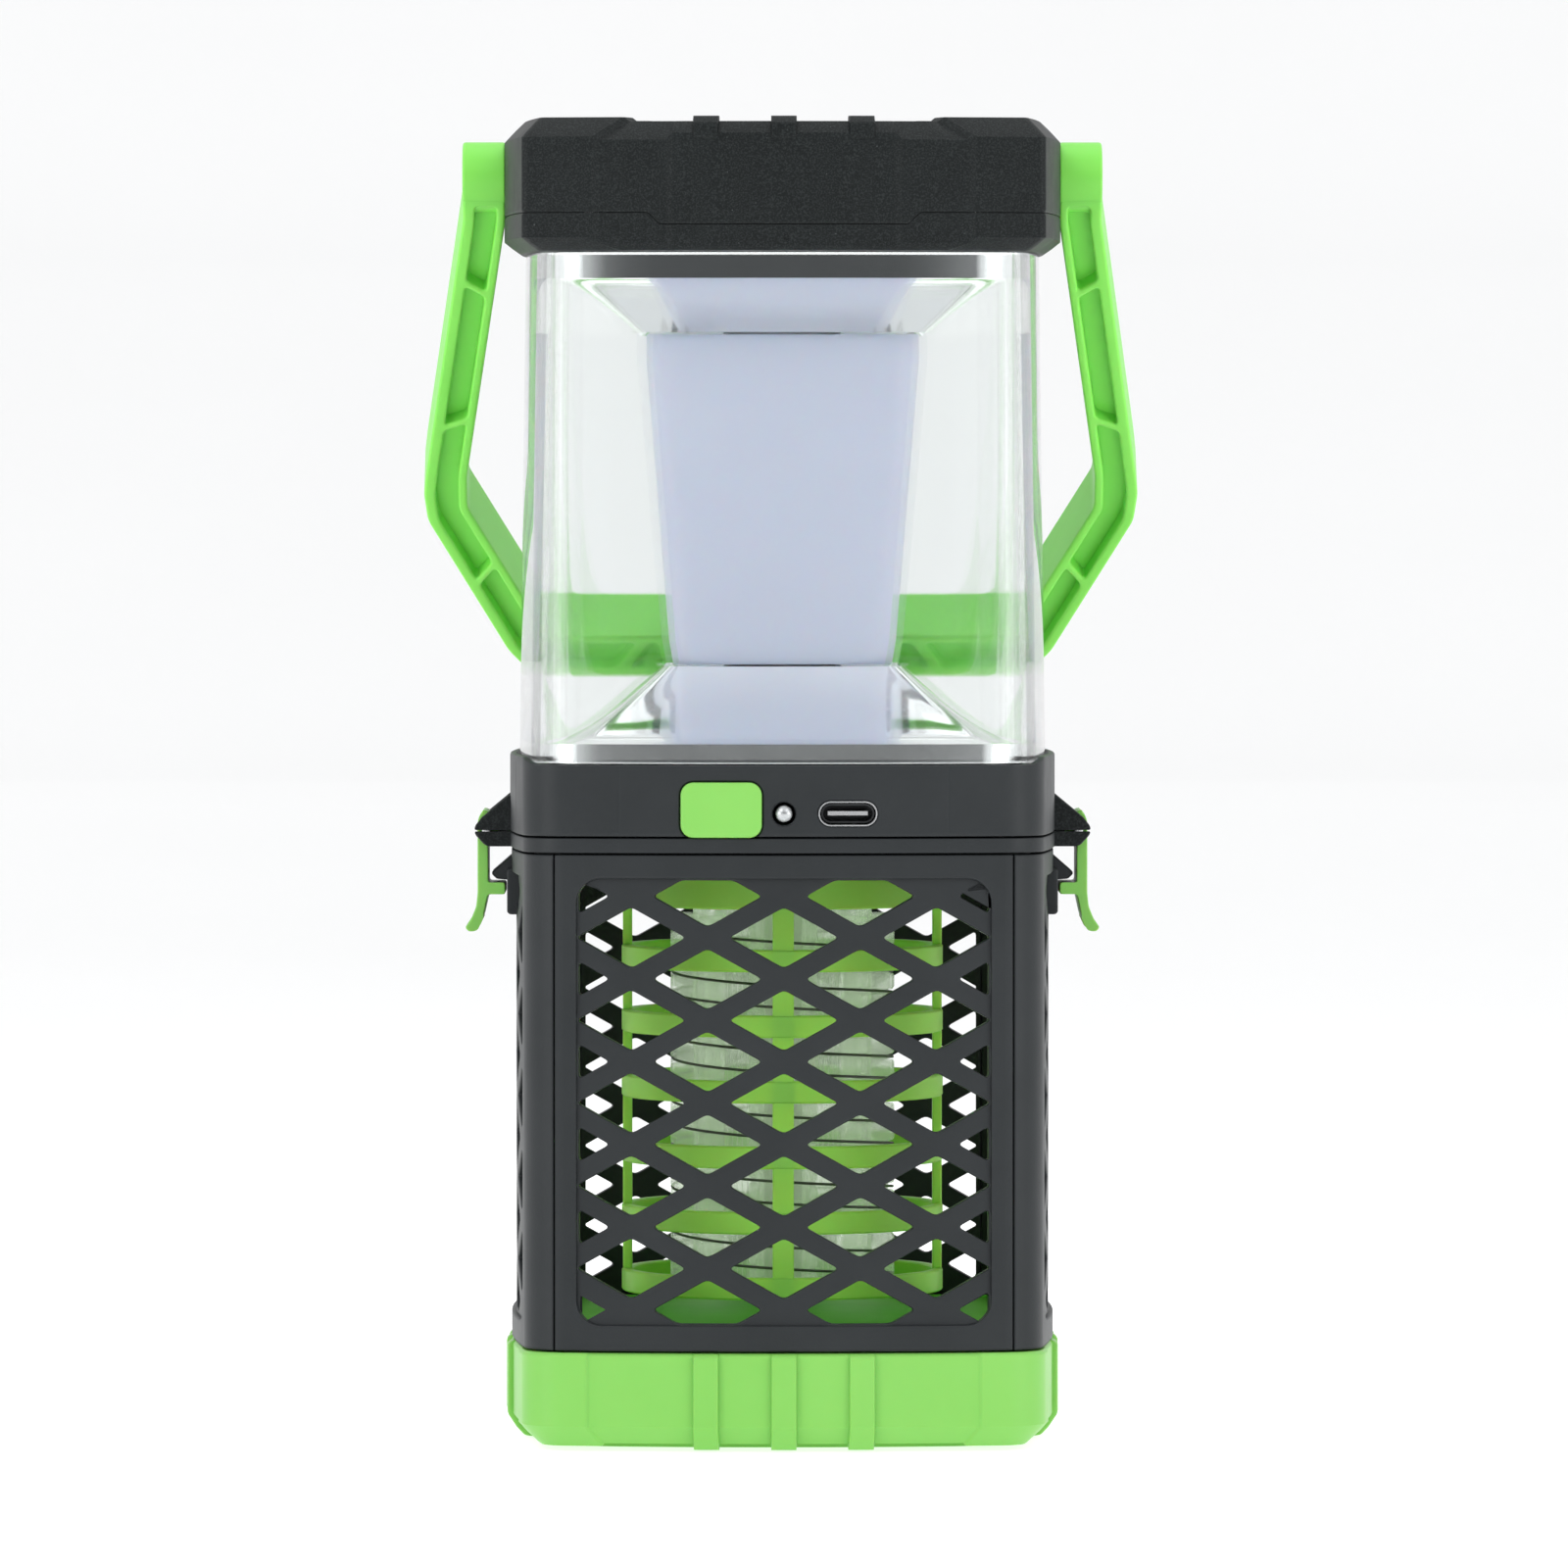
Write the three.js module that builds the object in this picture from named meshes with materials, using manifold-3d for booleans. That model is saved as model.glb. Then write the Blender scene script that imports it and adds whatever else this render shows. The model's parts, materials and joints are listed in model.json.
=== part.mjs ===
// Rechargeable camping lantern and bug zapper: a lantern head over a lattice cage with a catch tray.
// Millimetres, +Z up, controls facing -Y, origin at the centre of the flat underside.
import * as THREE from 'three';
import { mergeVertices } from 'three/addons/utils/BufferGeometryUtils.js';
import Module from 'manifold-3d';

const wasm = await Module();
wasm.setup();

// ---- driving dimensions ----
const GAP = 0.3;
const WALL = 2.2;
const REACH = 120;
const SIDE_BOW_RADIUS = 260;
const CORNER_RADIUS = 8;
const ARC_STEPS = 2;

const BASE = {
  half: 46.3, cornerHalf: 46.8, top: 16.6, underside: 1, floor: 3.4, chamfer: 3.5, panelInner: 33,
};
const TRAY = { half: 42.9, bottom: 18.2, top: 20.2 };
const RIB = { width: 4.3, pitch: 13.1, proud: 0.95, count: 3 };
const PLINTH_HALF = 37;
const BOSS = {
  at: 36.5, radius: 4.2, bore: 1.8, baseTop: 10, cageTop: 17.9, headRadius: 3.4, headDepth: 5.2,
};

const CAGE = { half: 46.3, bottom: 16.9, top: 100.05, seam: 38.7 };
const WINDOW = { half: 34.9, bottom: 21.2, top: 96.1, radius: 4.2, rebate: 0.8 };
const LATTICE = { outer: 45.5, inner: 43.3, xStep: 12.87, zStep: 13.87, rowCentre: 86.2 };
const DIAMOND = { width: 18.4, height: 10.2 };

const COLLAR = { half: 46.55, bottom: 100.35, seam: 103, deck: 113.4, top: 115, lipRise: 1.6 };
const BUTTON = { x: -10.5, width: 13.2, bottom: 103.15, top: 112.1, radius: 2, proud: 0.5 };
const LED = { x: 0, z: 107, radius: 1.5, hole: 1.9 };
const USB = {
  x: 10.7, z: 107, width: 8.94, height: 3.26, sheet: 0.3, mouth: 43.9, depth: 7.3,
  holeWidth: 10, holeHeight: 4.3, tongueWidth: 6.69, tongueHeight: 0.7,
};
const BOARD = { top: 105.2, thickness: 1.2 };
const COLLAR_SCREW = { post: 3, bore: 1.4, pocket: 2.4, boreTop: 111 };

const LENS = { bottom: 115.3, top: 200.9, bottomHalf: 44.9, topHalf: 43.8, wall: 2.5 };
const DIFFUSER = { bottom: 131.5, top: 187.4, bottomHalf: 19, topHalf: 23.5, radius: 4.5, wall: 2 };
const REFLECTOR = {
  lowerHalf: 40.9, upperHalf: 39.8, lowerBand: 118.5, upperBand: 196.6, wall: 1.4, radius: 3.5,
};

const CAP = { half: 46.7, bottom: 201.2, seam: 205.4, seamRise: 2.3, top: 222.9, cornerRadius: 1.3 };
const BELOW_CAP = 150;
const ABOVE_CAP = 250;
const CAP_STEPS = { sideInner: 20, cornerInner: 32.5, sideProud: 0.35, cornerProud: 0.75 };
const CAP_CHAMFER = { centre: 1.8, side: 2.8, corner: 3.3, sideRise: 0.25, cornerRise: 0.6 };

const CAP_SCREW = { post: 3.4, bore: 1.8, boreTop: 216 };

const PIVOT = {
  z: 214.5, eyeInner: 47.3, eyeOuter: 54.6, eyeRadius: 6, pinRadius: 3.35, pinInner: 41.6, lip: 4.1,
};
const HANDLE = {
  tilt: 40, thickness: 12, width: 8.1, flange: 2.2, channel: 4.2,
  kneeOuter: 62.3, kneeTop: 64, kneeBottom: 72,
  ribDrops: [17, 40, 80], ribAcross: [-22, 0, 22], ribWidth: 1.4, ribRecess: 0.8,
};
const CROSSBAR = { top: 98.6, bottom: 108, slantHalf: 48, slantEnd: 103, flatHalf: 38 };

const LATCH = { x: 50.5, z: 103, inner: 50.2, outer: 52.05, halfWidth: 7, barrel: 2, pin: 0.75 };
const EAR = { inner: 7.3, outer: 9.3 };

const GUARD = {
  radius: 27.5, wall: 1.8, ringHeight: 3.8, bottom: 24.1, pitch: 11.1, rings: 6,
  post: 3.6, skirt: 90.2, plate: 97.5,
};
const GUIDE = {
  inner: 13, body: 15.2, fin: 17.9, fins: 12, finWidth: 2, bottom: 24.4, top: 97.2, legBottom: 20.5,
};
const COIL = { radius: 19, lead: 7.4, wire: 0.3, bottom: 27, turns: 8, stepsPerTurn: 12 };

// ---- materials ----
const blackPlastic = new THREE.MeshStandardMaterial({ color: 0x34393c, roughness: 0.6, metalness: 0 });
const greenPlastic = new THREE.MeshStandardMaterial({ color: 0x86d45e, roughness: 0.45, metalness: 0 });
const guardPlastic = new THREE.MeshStandardMaterial({ color: 0x79b048, roughness: 0.5, metalness: 0 });
const clearPlastic = new THREE.MeshStandardMaterial({
  color: 0xe8eeec, roughness: 0.05, metalness: 0, transparent: true, opacity: 0.3,
});
const diffuserPlastic = new THREE.MeshStandardMaterial({ color: 0xbfc6d8, roughness: 0.5, metalness: 0 });
const mirrorPlastic = new THREE.MeshStandardMaterial({ color: 0xd8dadc, roughness: 0.08, metalness: 1 });
const steel = new THREE.MeshStandardMaterial({ color: 0xa9abad, roughness: 0.35, metalness: 1 });
const boardGreen = new THREE.MeshStandardMaterial({ color: 0x1d5c36, roughness: 0.5, metalness: 0 });
const boardWhite = new THREE.MeshStandardMaterial({ color: 0xe9e9e4, roughness: 0.5, metalness: 0 });
const cellFoil = new THREE.MeshStandardMaterial({ color: 0xb9bec2, roughness: 0.4, metalness: 0.6 });
const pottingBlack = new THREE.MeshStandardMaterial({ color: 0x17181a, roughness: 0.4, metalness: 0 });

// ---- solids and meshes ----
function toSolid(geometry) {
  geometry.deleteAttribute('normal');
  geometry.deleteAttribute('uv');
  const merged = mergeVertices(geometry, 1e-4);
  return new wasm.Manifold(new wasm.Mesh({
    numProp: 3,
    vertProperties: merged.attributes.position.array,
    triVerts: new Uint32Array(merged.index.array),
  }));
}

function toMesh(name, solid, material) {
  const result = solid.getMesh();
  const geometry = new THREE.BufferGeometry();
  geometry.setAttribute('position', new THREE.BufferAttribute(result.vertProperties, 3));
  geometry.setIndex(new THREE.BufferAttribute(result.triVerts, 1));
  geometry.computeVertexNormals();
  const mesh = new THREE.Mesh(geometry, material);
  mesh.name = name;
  return mesh;
}

function unite(solids) {
  return solids.reduce((whole, solid) => whole.add(solid));
}

function cut(solid, tools) {
  return tools.reduce((rest, tool) => rest.subtract(tool), solid);
}

function block(x0, x1, y0, y1, z0, z1) {
  const geometry = new THREE.BoxGeometry(x1 - x0, y1 - y0, z1 - z0);
  geometry.translate((x0 + x1) / 2, (y0 + y1) / 2, (z0 + z1) / 2);
  return toSolid(geometry);
}

// A straight prism of a shape, from z0 to z1.
function prism(shape, z0, z1, steps = ARC_STEPS) {
  const depth = z1 - z0;
  const geometry = new THREE.ExtrudeGeometry(shape, { depth, bevelEnabled: false, curveSegments: steps });
  geometry.translate(0, 0, z0);
  return toSolid(geometry);
}

// A shape drawn in the XZ plane, as seen from the front, run from y0 to y1.
function prismAlongY(shape, y0, y1, steps = ARC_STEPS) {
  const depth = y1 - y0;
  const geometry = new THREE.ExtrudeGeometry(shape, { depth, bevelEnabled: false, curveSegments: steps });
  const x = new THREE.Vector3(1, 0, 0);
  const z = new THREE.Vector3(0, 0, 1);
  const back = new THREE.Vector3(0, -1, 0);
  geometry.applyMatrix4(new THREE.Matrix4().makeBasis(x, z, back));
  geometry.translate(0, y1, 0);
  return toSolid(geometry);
}

function rodAlong(axis, radius, from, to, centre, sides = 12) {
  const geometry = new THREE.CylinderGeometry(radius, radius, to - from, sides);
  if (axis === 'x') {
    geometry.rotateZ(Math.PI / 2);
    geometry.translate((from + to) / 2, centre[0], centre[1]);
  } else if (axis === 'y') {
    geometry.translate(centre[0], (from + to) / 2, centre[1]);
  } else {
    geometry.rotateX(Math.PI / 2);
    geometry.translate(centre[0], centre[1], (from + to) / 2);
  }
  return toSolid(geometry);
}

function quarterTurns(solid, angles = [0, 90, 180, 270]) {
  return angles.map((angle) => solid.rotate([0, 0, angle]));
}

// ---- outlines ----
// A square whose four sides bow outward a little, with round corners; half is measured at mid-side.
function bowedSquare(half, radius = CORNER_RADIUS) {
  const sideCentre = half - SIDE_BOW_RADIUS;
  const inner = SIDE_BOW_RADIUS - radius;
  const corner = (sideCentre + Math.sqrt(2 * inner ** 2 - sideCentre ** 2)) / 2;
  const swing = Math.atan2(corner, corner - sideCentre);
  const bulge = sideCentre + SIDE_BOW_RADIUS / Math.cos(swing);
  const sideEnd = new THREE.Vector2(SIDE_BOW_RADIUS, 0).rotateAround(new THREE.Vector2(), swing);
  sideEnd.x += sideCentre;
  const shape = new THREE.Shape();
  shape.moveTo(sideEnd.x, -sideEnd.y);
  for (let side = 0; side < 4; side += 1) {
    const turn = (side * Math.PI) / 2;
    const control = new THREE.Vector2(bulge, 0).rotateAround(new THREE.Vector2(), turn);
    const end = sideEnd.clone().rotateAround(new THREE.Vector2(), turn);
    const diagonal = new THREE.Vector2(corner, corner).rotateAround(new THREE.Vector2(), turn);
    shape.quadraticCurveTo(control.x, control.y, end.x, end.y);
    shape.absarc(diagonal.x, diagonal.y, radius, turn + swing, turn + Math.PI / 2 - swing, false);
  }
  return shape;
}

function roundedRect(x0, x1, z0, z1, radius) {
  const shape = new THREE.Shape();
  shape.absarc(x1 - radius, z1 - radius, radius, 0, Math.PI / 2, false);
  shape.absarc(x0 + radius, z1 - radius, radius, Math.PI / 2, Math.PI, false);
  shape.absarc(x0 + radius, z0 + radius, radius, Math.PI, 1.5 * Math.PI, false);
  shape.absarc(x1 - radius, z0 + radius, radius, 1.5 * Math.PI, 2 * Math.PI, false);
  return shape;
}

function polygon(points) {
  return new THREE.Shape(points.map(([x, y]) => new THREE.Vector2(x, y)));
}

// A closed skin through bowed squares at rising levels, each { z, half }.
function loft(levels, radius = CORNER_RADIUS) {
  const rings = levels.map(({ half }) => {
    const ring = bowedSquare(half, radius).extractPoints(ARC_STEPS).shape;
    return ring.filter((point, i) => point.distanceTo(ring[(i + 1) % ring.length]) > 1e-6);
  });
  const count = rings[0].length;
  const positions = [];
  rings.forEach((ring, level) => {
    ring.forEach((point) => positions.push(point.x, point.y, levels[level].z));
  });
  const index = [];
  for (let level = 0; level + 1 < levels.length; level += 1) {
    for (let i = 0; i < count; i += 1) {
      const a = level * count + i;
      const b = level * count + ((i + 1) % count);
      index.push(a, b, b + count, a, b + count, a + count);
    }
  }
  const topStart = (levels.length - 1) * count;
  THREE.ShapeUtils.triangulateShape(rings[0], []).forEach(([a, b, c]) => {
    index.push(a, c, b, topStart + a, topStart + b, topStart + c);
  });
  const geometry = new THREE.BufferGeometry();
  geometry.setAttribute('position', new THREE.Float32BufferAttribute(positions, 3));
  geometry.setIndex(index);
  return toSolid(geometry);
}

// A bowed square block whose bottom and top edges are chamfered at 45 degrees.
function chamferedBlock(half, z0, z1, bottomChamfer, topChamfer, radius = CORNER_RADIUS) {
  return loft([
    { z: z0, half: half - bottomChamfer },
    { z: z0 + bottomChamfer, half },
    { z: z1 - topChamfer, half },
    { z: z1, half: half - topChamfer },
  ], radius);
}

// ---- base: a shallow green cover under the cage ----
function baseCover() {
  const body = chamferedBlock(BASE.half, BASE.underside, BASE.top, BASE.chamfer, 0.6);
  const corners = chamferedBlock(BASE.cornerHalf, BASE.underside, BASE.top, BASE.chamfer + 0.4, 0.9);
  const cornerZone = block(BASE.panelInner, REACH, BASE.panelInner, REACH, 0, REACH);
  const cornerPanels = corners.intersect(unite(quarterTurns(cornerZone)));
  const ribStock = chamferedBlock(BASE.half + RIB.proud, 0, BASE.top, BASE.chamfer, 0.8);
  const ribSlots = [];
  for (let i = 0; i < RIB.count; i += 1) {
    const middle = (i - (RIB.count - 1) / 2) * RIB.pitch;
    const slot = block(middle - RIB.width / 2, middle + RIB.width / 2, -REACH, 6 - BASE.half, 0, REACH);
    ribSlots.push(...quarterTurns(slot));
  }
  const ribs = ribStock.intersect(unite(ribSlots));
  const plinth = prism(bowedSquare(PLINTH_HALF), 0, BASE.underside + 0.5);
  const bowl = loft([
    { z: BASE.floor, half: BASE.half - WALL - BASE.chamfer },
    { z: BASE.floor + BASE.chamfer, half: BASE.half - WALL },
    { z: BASE.top + 1, half: BASE.half - WALL },
  ]);
  const shell = unite([body, cornerPanels, ribs, plinth]).subtract(bowl);
  const at = [BOSS.at, BOSS.at];
  const boss = rodAlong('z', BOSS.radius, BASE.floor - 1, BOSS.baseTop, at);
  const bore = rodAlong('z', BOSS.bore, -1, BOSS.baseTop + 1, at);
  const headPocket = rodAlong('z', BOSS.headRadius, -1, BOSS.headDepth, at);
  const withBosses = unite([shell, ...quarterTurns(boss)]);
  return cut(withBosses, [...quarterTurns(bore), ...quarterTurns(headPocket)]);
}

function screw(x, y, headBottom, headTop, shankTop, headRadius, shankRadius) {
  const slot = headRadius * 0.55;
  const head = rodAlong('z', headRadius, headBottom, headTop, [x, y]);
  const shank = rodAlong('z', shankRadius, headTop - 0.5, shankTop, [x, y], 8);
  const drive = block(x - slot, x + slot, y - 0.35, y + 0.35, headBottom - 1, headBottom + 0.8);
  return head.add(shank).subtract(drive);
}

// ---- cage: four lattice walls around the zapper grid ----
function latticeOpenings() {
  const openings = [];
  for (let column = -3; column <= 3; column += 1) {
    const x = column * LATTICE.xStep;
    const shift = column % 2 === 0 ? 0 : LATTICE.zStep / 2;
    for (let row = -1; row <= 5; row += 1) {
      const z = LATTICE.rowCentre + shift - row * LATTICE.zStep;
      const outline = polygon([
        [x - DIAMOND.width / 2, z],
        [x, z - DIAMOND.height / 2],
        [x + DIAMOND.width / 2, z],
        [x, z + DIAMOND.height / 2],
      ]);
      if (z > WINDOW.bottom - 4 && z < WINDOW.top + 4) openings.push(prismAlongY(outline, -REACH, -30));
    }
  }
  return unite(openings);
}

function cageRing() {
  const rim = prism(bowedSquare(CAGE.half), CAGE.bottom, CAGE.top)
    .subtract(prism(bowedSquare(CAGE.half - WALL), 0, REACH));
  const opening = roundedRect(-WINDOW.half, WINDOW.half, WINDOW.bottom, WINDOW.top, WINDOW.radius);
  const { rebate } = WINDOW;
  const seat = roundedRect(
    -WINDOW.half - rebate, WINDOW.half + rebate, WINDOW.bottom - rebate, WINDOW.top + rebate,
    WINDOW.radius + rebate,
  );
  const openWindow = prismAlongY(opening, -REACH, -30);
  const bars = prism(bowedSquare(LATTICE.outer, 7), CAGE.bottom, CAGE.top)
    .subtract(prism(bowedSquare(LATTICE.inner, 5), 0, REACH))
    .intersect(prismAlongY(seat, -REACH, -30));
  const holes = latticeOpenings().intersect(openWindow);
  const lattice = bars.subtract(holes);
  const frame = cut(rim, quarterTurns(openWindow));
  return unite([frame, ...quarterTurns(lattice)]);
}

function cageCornerPosts() {
  const post = rodAlong('z', BOSS.radius - 0.2, BOSS.baseTop + GAP, BOSS.cageTop, [BOSS.at, BOSS.at]);
  const web = block(BOSS.at, 41.5, BOSS.at - 1, BOSS.at + 1, CAGE.bottom, BOSS.cageTop);
  const tie = block(38.85, 44.6, BOSS.at - 1, BOSS.at + 1, CAGE.bottom, BOSS.cageTop);
  const bore = rodAlong('z', BOSS.bore, 0, 21, [BOSS.at, BOSS.at]);
  return unite([post, web, tie]).subtract(bore);
}

function mirrorX(solid) {
  return solid.mirror([1, 0, 0]);
}

function cageSidePanel(ring) {
  const zone = block(CAGE.seam + GAP / 2, REACH, -REACH, REACH, 0, REACH);
  const wall = ring.intersect(zone);
  const wedge = prismAlongY(polygon([
    [44.6, 98.7], [46.4, 98.7], [49.6, 95.9], [49.6, 95.5], [48.8, 94.7], [46.4, 94.5], [44.6, 94.5],
  ]), -6, 6);
  const pad = block(44.4, 47, -8, 8, 88.7, 96.6);
  const post = cageCornerPosts();
  const rearPost = post.mirror([0, 1, 0]);
  return unite([wall, wedge, pad, post, rearPost]);
}

function cageFrontPanel(ring) {
  const zone = block(-CAGE.seam + GAP / 2, CAGE.seam - GAP / 2, -REACH, -40, 0, REACH);
  return ring.intersect(zone);
}

// ---- collar: the black belt between cage and lantern, with the controls and the latch ears ----
function earPair() {
  const outline = polygon([
    [45, 109.2], [46.5, 109.2], [51.3, 105.3], [52.4, 103.9], [52.6, 103], [52.3, 102.2], [50.9, 100.7],
    [50.3, COLLAR.bottom], [45, COLLAR.bottom],
  ]);
  const ear = prismAlongY(outline, EAR.inner, EAR.outer);
  const ears = ear.add(ear.mirror([0, 1, 0]));
  const pinHole = rodAlong('y', LATCH.pin + GAP, -REACH, REACH, [LATCH.x, LATCH.z], 12);
  return ears.subtract(pinHole);
}

function collarHousing() {
  const seamTop = COLLAR.seam + GAP / 2;
  const outer = chamferedBlock(COLLAR.half, seamTop, COLLAR.top, 0, 0.5);
  const room = prism(bowedSquare(COLLAR.half - WALL, 6), 0, COLLAR.deck);
  const deckHole = rodAlong('z', 11, COLLAR.deck - 1, REACH, [0, 0], 24);
  const cornerLip = chamferedBlock(COLLAR.half, COLLAR.deck, COLLAR.top + COLLAR.lipRise, 0, 0.5)
    .subtract(prism(bowedSquare(LENS.bottomHalf + 0.4), 0, REACH + 10))
    .intersect(unite(quarterTurns(block(36, REACH, 36, REACH, 0, REACH + 10))));
  const ears = earPair().intersect(block(0, REACH, -REACH, REACH, seamTop, REACH + 10));
  const shell = unite([outer.subtract(room), cornerLip, ears, mirrorX(ears)]);
  const buttonHole = prismAlongY(roundedRect(
    BUTTON.x - BUTTON.width / 2 - GAP, BUTTON.x + BUTTON.width / 2 + GAP,
    BUTTON.bottom - 3, BUTTON.top + GAP, BUTTON.radius + GAP,
  ), -REACH, -40);
  const ledHole = rodAlong('y', LED.hole, -REACH, -40, [LED.x, LED.z], 16);
  const usbHole = prismAlongY(roundedRect(
    USB.x - USB.holeWidth / 2, USB.x + USB.holeWidth / 2,
    USB.z - USB.holeHeight / 2, USB.z + USB.holeHeight / 2, USB.holeHeight / 2 - 0.01,
  ), -REACH, -40);
  const postTop = COLLAR.deck + 0.5;
  const places = collarScrewPlaces();
  const boardPosts = places.map((at) => rodAlong('z', COLLAR_SCREW.post, seamTop, postTop, at));
  const bores = places.map((at) => rodAlong('z', COLLAR_SCREW.bore, 0, COLLAR_SCREW.boreTop, at));
  return cut(unite([shell, ...boardPosts]), [buttonHole, ledHole, usbHole, deckHole, ...bores]);
}

function collarScrewPlaces() {
  return [[-36, -34], [36, -34], [36, 34], [-36, 34]];
}

function collarFloor() {
  const seamBottom = COLLAR.seam - GAP / 2;
  const plate = prism(bowedSquare(COLLAR.half), COLLAR.bottom, seamBottom);
  const ears = earPair().intersect(block(0, REACH, -REACH, REACH, 0, seamBottom));
  const wireHole = rodAlong('z', 7, 0, REACH, [0, 0]);
  const pocketTop = COLLAR.bottom + 1.3;
  const bores = collarScrewPlaces().map((at) => rodAlong('z', COLLAR_SCREW.bore, 0, REACH, at));
  const pockets = collarScrewPlaces().map((at) => rodAlong('z', COLLAR_SCREW.pocket, 0, pocketTop, at));
  return cut(unite([plate, ears, mirrorX(ears)]), [wireHole, ...bores, ...pockets]);
}

function powerButton() {
  const face = roundedRect(
    BUTTON.x - BUTTON.width / 2, BUTTON.x + BUTTON.width / 2, BUTTON.bottom, BUTTON.top, BUTTON.radius,
  );
  const cap = prismAlongY(face, -REACH, -42.3)
    .intersect(prism(bowedSquare(COLLAR.half + BUTTON.proud), COLLAR.bottom, COLLAR.top));
  const halfFlange = BUTTON.width / 2 + 1.2;
  const flange = block(
    BUTTON.x - halfFlange, BUTTON.x + halfFlange, -42.7, -42.1, BUTTON.bottom, BUTTON.top + 1,
  );
  const plunger = rodAlong('y', 1.6, -42.3, -41.6, [BUTTON.x, LED.z + 0.6]);
  return unite([cap, flange, plunger]);
}

function statusLed() {
  const barrel = rodAlong('y', LED.radius, -46.2, -42, [LED.x, LED.z], 16);
  const dome = new THREE.SphereGeometry(LED.radius, 16, 8);
  dome.translate(LED.x, -46.2, LED.z);
  return barrel.add(toSolid(dome));
}

function usbShell() {
  const round = USB.height / 2 - 0.01;
  const halfWidth = USB.width / 2;
  const outer = roundedRect(
    USB.x - halfWidth, USB.x + halfWidth, USB.z - round, USB.z + round, round - 0.01,
  );
  const { sheet } = USB;
  const inner = roundedRect(
    USB.x - halfWidth + sheet, USB.x + halfWidth - sheet, USB.z - round + sheet, USB.z + round - sheet,
    round - sheet - 0.01,
  );
  const back = -USB.mouth + USB.depth;
  return prismAlongY(outer, -USB.mouth, back).subtract(prismAlongY(inner, -REACH, back - sheet));
}

function usbTongue() {
  const back = -USB.mouth + USB.depth - 2 * GAP;
  const halfWidth = USB.tongueWidth / 2;
  const halfHeight = USB.tongueHeight / 2;
  return block(
    USB.x - halfWidth, USB.x + halfWidth, -USB.mouth + 0.7, back, USB.z - halfHeight, USB.z + halfHeight,
  );
}

function mainBoard() {
  const bottom = BOARD.top - BOARD.thickness;
  return block(-24, 24, -41.2, -22, bottom, BOARD.top);
}

function powerSwitch() {
  const body = block(BUTTON.x - 3, BUTTON.x + 3, -40.2, -36.4, BOARD.top + GAP, BOARD.top + 4.6);
  const stem = rodAlong('y', 1.2, -40.7, -40, [BUTTON.x, LED.z + 0.6], 12);
  return body.add(stem);
}

function batteryPack() {
  const outline = roundedRect(-25, 25, 103.3, 112.7, 2);
  return prismAlongY(outline, 3, 37);
}

function boosterModule() {
  const body = block(-20, 20, -19, -3, 103.3, 111);
  const coil = rodAlong('z', 5.5, 110.5, 113, [-11, -11], 16);
  return body.add(coil);
}

// ---- latches: a green lever on each side hooks its catch bar under a wedge on the cage ----
function latchLever() {
  const outline = new THREE.Shape();
  outline.moveTo(LATCH.inner, 101.6);
  outline.absarc(LATCH.x, LATCH.z, LATCH.barrel, -1.8, -4.2, true);
  outline.lineTo(50.1, 106.2);
  outline.lineTo(51, 106.6);
  outline.lineTo(51.7, 105.6);
  outline.lineTo(LATCH.outer, 104.5);
  outline.lineTo(LATCH.outer, 92.3);
  outline.quadraticCurveTo(LATCH.outer + 0.3, 89.5, 54.2, 86.4);
  outline.lineTo(53.6, 85.7);
  outline.lineTo(52.4, 85.9);
  outline.quadraticCurveTo(50.4, 89, LATCH.inner, 92.1);
  outline.lineTo(47.3, 92.1);
  outline.lineTo(47.3, 94.1);
  outline.lineTo(LATCH.inner, 94.1);
  const lever = prismAlongY(outline, -LATCH.halfWidth, LATCH.halfWidth, 5);
  const pinHole = rodAlong('y', LATCH.pin + GAP, -REACH, REACH, [LATCH.x, LATCH.z], 12);
  return lever.subtract(pinHole);
}

function latchPin() {
  return rodAlong('y', LATCH.pin, -EAR.outer - 0.2, EAR.outer + 0.2, [LATCH.x, LATCH.z], 12);
}

// ---- lantern: clear lens, two mirrored reflectors and a tapered diffuser ----
function lens() {
  const outer = loft([{ z: LENS.bottom, half: LENS.bottomHalf }, { z: LENS.top, half: LENS.topHalf }]);
  const inner = loft([
    { z: LENS.bottom - 1, half: LENS.bottomHalf - LENS.wall },
    { z: LENS.top + 1, half: LENS.topHalf - LENS.wall },
  ], CORNER_RADIUS - LENS.wall);
  return outer.subtract(inner);
}

// Levels of a concave flare from the wide band to the diffuser.
function flareLevels(bandHalf, bandZ, throatHalf, throatZ, inset) {
  const levels = [];
  const steps = 3;
  for (let i = 0; i <= steps; i += 1) {
    const run = i / steps;
    const rise = run ** 1.5;
    levels.push({
      z: THREE.MathUtils.lerp(bandZ, throatZ, rise),
      half: THREE.MathUtils.lerp(bandHalf, throatHalf, run) - inset,
    });
  }
  return levels;
}

function lowerReflector() {
  const throat = DIFFUSER.bottomHalf + 1;
  const top = DIFFUSER.bottom - GAP;
  const skin = loft([
    { z: LENS.bottom, half: REFLECTOR.lowerHalf },
    ...flareLevels(REFLECTOR.lowerHalf, REFLECTOR.lowerBand, throat, top, 0),
  ], REFLECTOR.radius);
  const hollow = loft([
    { z: LENS.bottom - 1, half: REFLECTOR.lowerHalf - REFLECTOR.wall },
    ...flareLevels(
      REFLECTOR.lowerHalf, REFLECTOR.lowerBand - REFLECTOR.wall,
      throat, top - REFLECTOR.wall, REFLECTOR.wall,
    ),
  ], REFLECTOR.radius - 1);
  const throatHole = prism(bowedSquare(DIFFUSER.bottomHalf - 3, 3), 0, REACH + 50);
  return cut(skin, [hollow, throatHole]);
}

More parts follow.
